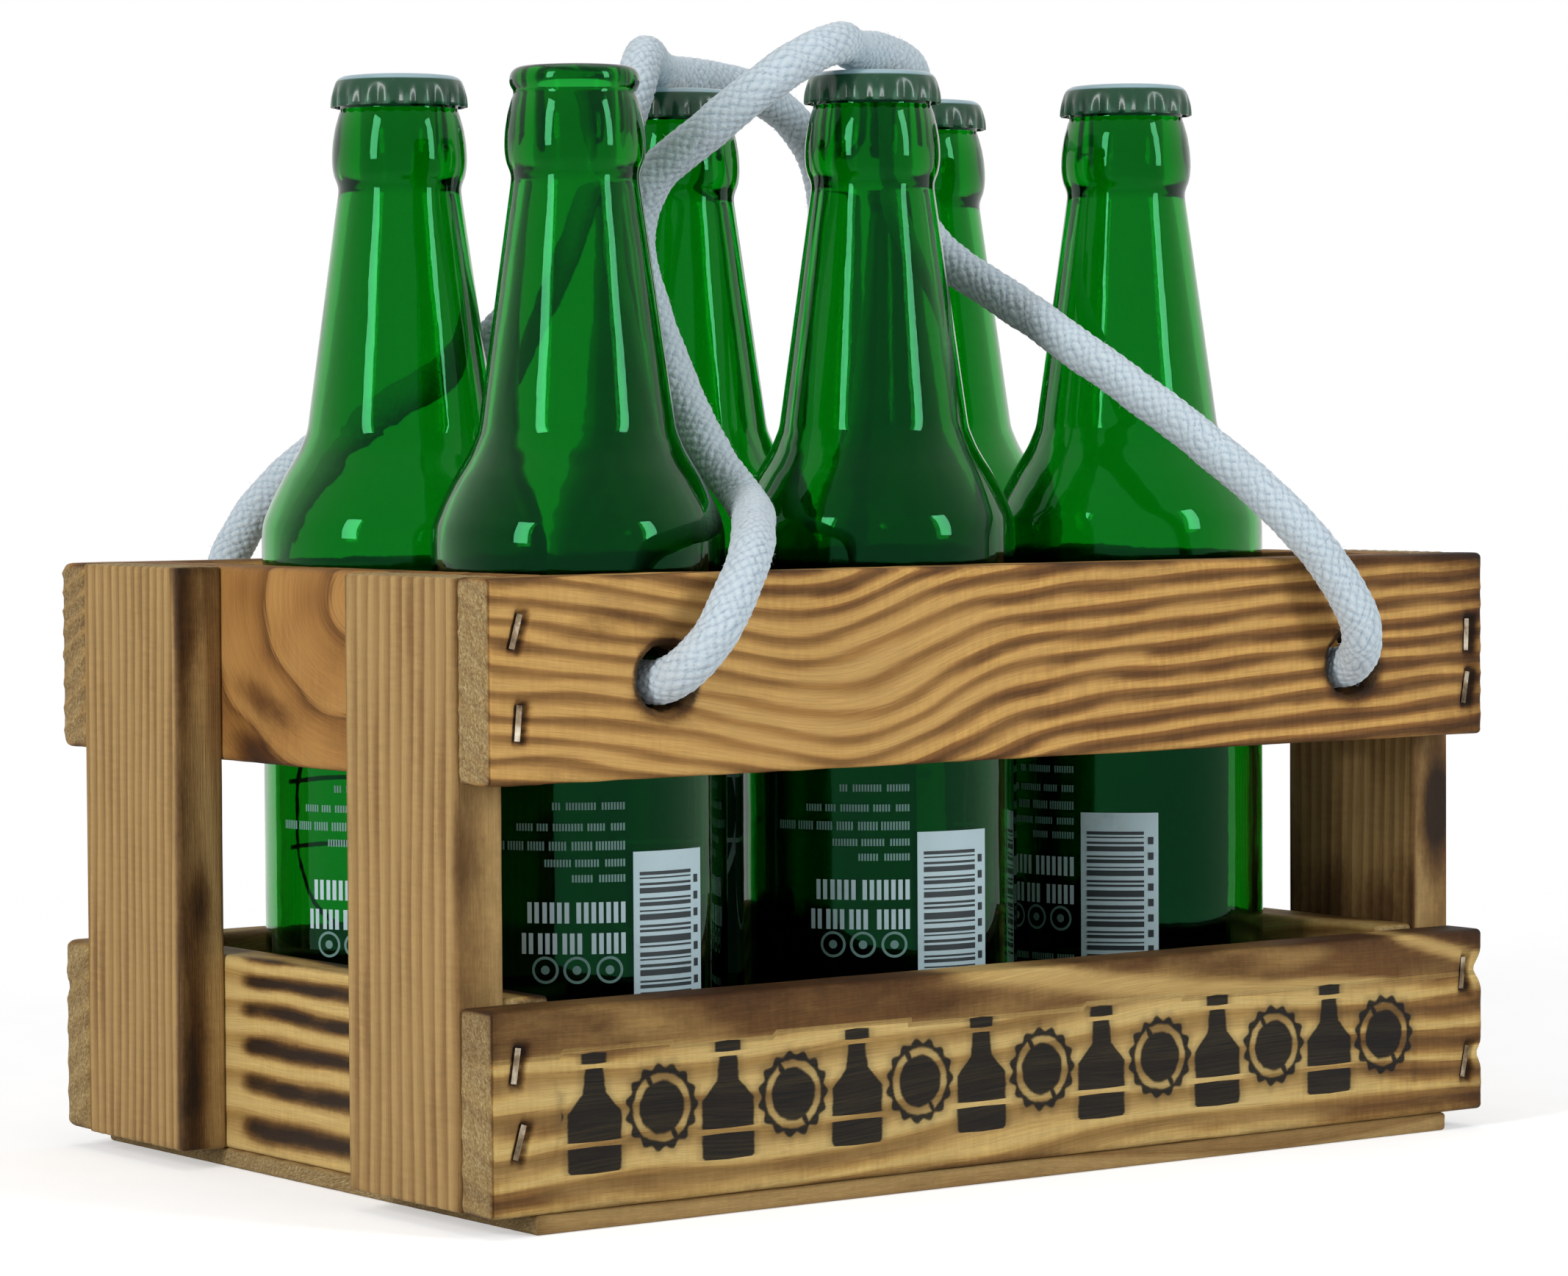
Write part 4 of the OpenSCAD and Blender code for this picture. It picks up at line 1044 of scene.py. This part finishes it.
def print_on(place, cx, cy, panel_deg):
    """Plain stand-in for the printed text: rules, discs and a bar panel with no digits or letters."""
    V, F, M = [], [], []
    middle = math.radians(panel_deg)

    def point(a, z, lift):
        """a is the arc length from the panel's middle, z the height above the table, lift the height of the ink."""
        t = middle + a / BODY_R
        V.append((cx + (BODY_R + lift) * math.cos(t), cy + (BODY_R + lift) * math.sin(t), z))

    def patch(a0, a1, z0, z1, lift, ink):
        n = max(1, int(abs(a1 - a0) / 1.2))
        for k in range(n + 1):
            point(a0 + (a1 - a0) * k / n, z0, lift)
            point(a0 + (a1 - a0) * k / n, z1, lift)
        for b in range(len(V) - 2 * n - 2, len(V) - 2, 2):
            F.append((b, b + 2, b + 3, b + 1))
            M.append(ink)

    def oval(a, z, rims, ink, n):
        """A band between two ovals, given as half width and half height."""
        base = len(V)
        for k in range(n):
            t = 2 * math.pi * k / n
            for wide, high in rims:
                point(a + wide * math.cos(t), z + high * math.sin(t), 0.08)
        for k in range(n):
            b, c = base + 2 * k, base + 2 * ((k + 1) % n)
            F.append((b, b + 1, c + 1, c))
            M.append(ink)

    patch(-8.6, 8.6, 36, 71.3, 0.08, PALE)
    z = 67.2
    for k, w in enumerate(BAR_WIDTHS):
        patch(-7.2, 5.4, z - w, z, 0.16, DARK)
        z -= w + BAR_GAPS[k % 4]
    for k in range(9):                                    # plain ticks beside the bars
        patch(6.3, 7.5, 66.0 - 3.4 * k - 1.6, 66.0 - 3.4 * k, 0.16, DARK)
    rng = np.random.default_rng(7)
    right = -10.3
    for z0, hgt, length, ink in DASH_ROWS:
        size, dash, gap = (1.0, 0.62, 0.9) if hgt < 3 else (1.5, 1.5, 1.4)
        a = right
        while a > right - length:                         # groups of short upright dashes, as words would lie
            w = min((2.2 + 4.5 * rng.random()) * size, a - (right - length) + 0.6)
            if w > 0.7:
                b = a
                while b > a - w + 0.2:
                    patch(b - dash * 0.62, b, z0 - hgt, z0, 0.08, ink)
                    b -= dash
            a -= w + gap
    for a in (-13.6, -20.2, -26.6):
        for r0, r1 in ((2.2, 2.75), (0.0001, 0.9)):
            oval(a, 47.8, ((r0, r0), (r1, r1)), GREY, 28)
    patch(-29.5, -11.2, 32.0, 36.9, 0.08, GREEN)
    # the other side of the bottle: a plain oval frame and two rules
    oval(FAR, 72, ((22, 27), (20.7, 25.7)), PALE, 72)
    for z0 in (79.2, 64.8):
        patch(FAR - 25, FAR + 25, z0, z0 + 1, 0.09, PALE)
    # the dark green field is print, and it also stands in for the shade seen through the bottle bodies
    for k in range(0 if place == "back_left" else 20):    # the label's field, with rounded corners, in strips
        z0 = 36 + 3.5 * k
        corner = max(0.0, abs(z0 + 1.75 - 71) - 25) / 10
        half = 27 - 10 * (1 - math.sqrt(max(0.0, 1 - corner * corner)))
        patch(FAR - half, FAR + half, z0, z0 + 3.5, 0.05, GREEN)
    mesh_object(f"{place}_print", V, F, inks, f"{place}_drink", face_mat=M)


# ---- caps
def make_cap():
    m = Nodes("cap_paint")
    h = m.attr("top")
    co = m.place()
    n = m.noise(co, 900, 3, 0.6)
    scr = m.noise(m.scale(co, (1, 6, 1)), 260, 3, 0.6)
    # green paint on the skirt; the top is painted pale: a painted reflection of the bright sky
    c = m.mix(m.remap(h, 0.30, 0.62), rgb(4, 60, 34), rgb(132, 162, 170))
    c = m.mix(m.remap(scr, 0.6, 0.8, 0, 0.25), c, rgb(96, 118, 120))
    # paler crests on the flutes: painted glints
    c = m.mix(m.remap(m.attr("crest"), 0.6, 1.0, 0, 0.22), c, rgb(110, 170, 140))
    m.set(Base_Color=c, Roughness=0.3, Specular_IOR_Level=0.3, Coat_Weight=0.25, Coat_Roughness=0.1,
          Normal=m.bump(n, 0.00008, 0.4))
    return m.mat


cap_mat = make_cap()


FLUTES, FLUTE_DEPTH = 21, 0.73
# outline of a crown cap: radius, height, share of the flutes' depth; from the middle of the top, then back inside
CAP_OUT = [(0, 231.93, 0), (6, 231.9, 0), (10.4, 231.8, 0), (12.1, 231.62, 0), (13.0, 231.15, 0), (13.5, 230.5, 0.02),
           (13.78, 229.8, 0.10), (13.92, 229.0, 0.28), (14.0, 228.2, 0.50), (14.02, 227.4, 0.74), (14.02, 226.6, 0.90),
           (14.02, 225.8, 1.0), (14.02, 225.1, 1.0)]
CAP_IN = [(13.72, 225.05, 1.0), (13.7, 226.0, 0.95), (13.66, 227.4, 0.7), (13.5, 228.6, 0.35), (13.2, 229.6, 0.1),
          (12.9, 230.4, 0), (12.7, 231.25, 0), (0, 231.35, 0)]


def cap(place, cx, cy, turn):
    seg = FLUTES * 12
    th = np.linspace(0, 2 * math.pi, seg, endpoint=False)
    wave = (0.5 + 0.5 * np.cos(FLUTES * (th + turn))) ** 0.8
    rings, top, crest = [], [], []
    for i, (r, z, a) in enumerate(CAP_OUT + CAP_IN):
        outer = i < len(CAP_OUT)
        n = seg if r else 1
        rings.append((r + a * FLUTE_DEPTH * wave if r else 0, z))
        top += [step01(z, 229.9, 231.6) if outer else 0] * n
        crest += list(a * wave * outer) if r else [0]
    V, F = revolve(rings, cx, cy, seg)
    ob = mesh_object(f"{place}_crown", V, [q[::-1] for q in F], cap_mat, f"{place}_drink",
                     {"top": np.array(top, float), "crest": np.array(crest, float)})
    stands_for(ob, f"{place}_cap")


# x and y of each bottle, and the direction in degrees of its label
places = {"front_left": (-76, -35.7, -87.2), "front_middle": (1.7, -33.9, -94.3), "front_right": (78, -27, -133.6),
          "back_left": (-78, 29, -104), "back_middle": (-0.8, 36.3, 40), "back_right": (71.2, 38.4, 118)}
for i, (place, (cx, cy, deg)) in enumerate(places.items()):
    bottle(place, cx, cy)
    print_on(place, cx, cy, deg)
    if place != "front_left":                             # that bottle is open
        cap(place, cx, cy, 0.37 * i)


# ---- staples, liners
def make_steel():
    m = Nodes("staple_steel")
    co = m.place()
    n = m.noise(co, 900, 4, 0.6)
    soot = m.noise(co, 220, 3, 0.6)
    c = m.ramp(soot, [(0.3, 58, 44, 32), (0.48, 128, 110, 86), (0.66, 196, 184, 164)])
    m.set(Base_Color=c, Metallic=0.75, Roughness=0.42, Normal=m.bump(n, 0.00012, 0.5))
    return m.mat


def make_liner():
    m = Nodes("cap_liner")
    co = m.place()
    n = m.noise(co, 500, 3, 0.6)
    c = m.mix(m.remap(n, 0.4, 0.7, 0, 0.4), rgb(214, 216, 212), rgb(188, 192, 190))
    m.set(Base_Color=c, Roughness=0.55, Normal=m.bump(n, 0.0001, 0.3))
    return m.mat


def dress(node, mat):
    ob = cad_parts[node]
    if not ob.material_slots:
        ob.data.materials.append(mat)
    for s in ob.material_slots:
        s.material = mat


steel, liner = make_steel(), make_liner()
for where in ("front", "back", "end", "base"):
    dress(where + "_staples", steel)
for place in places:
    if place != "front_left":
        dress(f"{place}_liner", liner)


# ---- floor, light, background
AMBIENT = 0.38          # the world's light on the object; what the camera sees of it is white
FLOOR_GLOW = 0.42       # lifts the floor near the object to a pale tone and keeps its shadow
FLOOR_FADE = (0.28, 0.75)       # metres from the middle, where the floor turns into the white background
WHITE = grey(1)
FRONT_DEG = -126.1      # direction of the camera from the crate


def make_floor():
    me = bpy.data.meshes.new("floor")
    me.from_pydata([(-30, -30, 0), (30, -30, 0), (30, 30, 0), (-30, 30, 0)], [], [(0, 1, 2, 3)])
    ob = bpy.data.objects.new("floor", me)
    scene.collection.objects.link(ob)
    m = Nodes("floor_paper")
    m.t.nodes.remove(m.bsdf)
    co, seen = m.place(), m.seen()
    tone = m.mix(m.remap(m.noise(co, 60, 2, 0.5), 0.3, 0.7), grey(0.80), grey(0.82))
    paper = m.node("BsdfDiffuse", (("Color", tone),))
    glow = m.node("Emission", (("Color", WHITE), ("Strength", m.mul(seen, FLOOR_GLOW))))
    white = m.node("Emission", (("Color", WHITE),))
    near = m.node("AddShader", ((0, paper.outputs[0]), (1, glow.outputs[0])))
    x, y, z = m.split(co)
    far = m.mul(m.remap(m.root(x, y), *FLOOR_FADE), seen)
    fade = m.node("MixShader", ((0, far), (1, near.outputs[0]), (2, white.outputs[0])))
    m.put(m.out.inputs["Surface"], fade.outputs[0])
    me.materials.append(m.mat)


def make_world():
    scene.world = bpy.data.worlds.new("studio")
    w = Nodes("studio", scene.world)
    back = w.t.nodes["Background"]
    back.inputs["Color"].default_value = WHITE
    w.put(back.inputs["Strength"], w.remap(w.seen(), 0.0, 1.0, AMBIENT, 1.0, "LINEAR"))


def softbox(name, at, look, w, h, power, tint=(1, 1, 1)):
    d = bpy.data.lights.new(name, "AREA")
    d.shape = "RECTANGLE"
    d.size, d.size_y = w, h
    d.energy = power
    d.color = tint
    ob = bpy.data.objects.new(name, d)
    ob.location = at
    ob.rotation_euler = (Vector(look) - Vector(at)).to_track_quat("-Z", "Y").to_euler()
    scene.collection.objects.link(ob)


def around(deg, dist, z):
    """A point at an angle to the right of the camera's own direction, as seen from the crate."""
    a = math.radians(FRONT_DEG + deg)
    return (dist * math.cos(a), dist * math.sin(a), z)


make_floor()
make_world()
softbox("key_left", around(-42, 1.5, 0.62), (0, 0, 0.12), 0.32, 0.9, 14)
softbox("key_right", around(58, 1.5, 0.62), (0, 0, 0.12), 0.28, 0.9, 11, (0.93, 0.97, 1.0))
softbox("top", (0.1, 0.1, 1.7), (0, 0, 0.1), 1.4, 1.2, 5.5)
scene.view_settings.view_transform = "Standard"
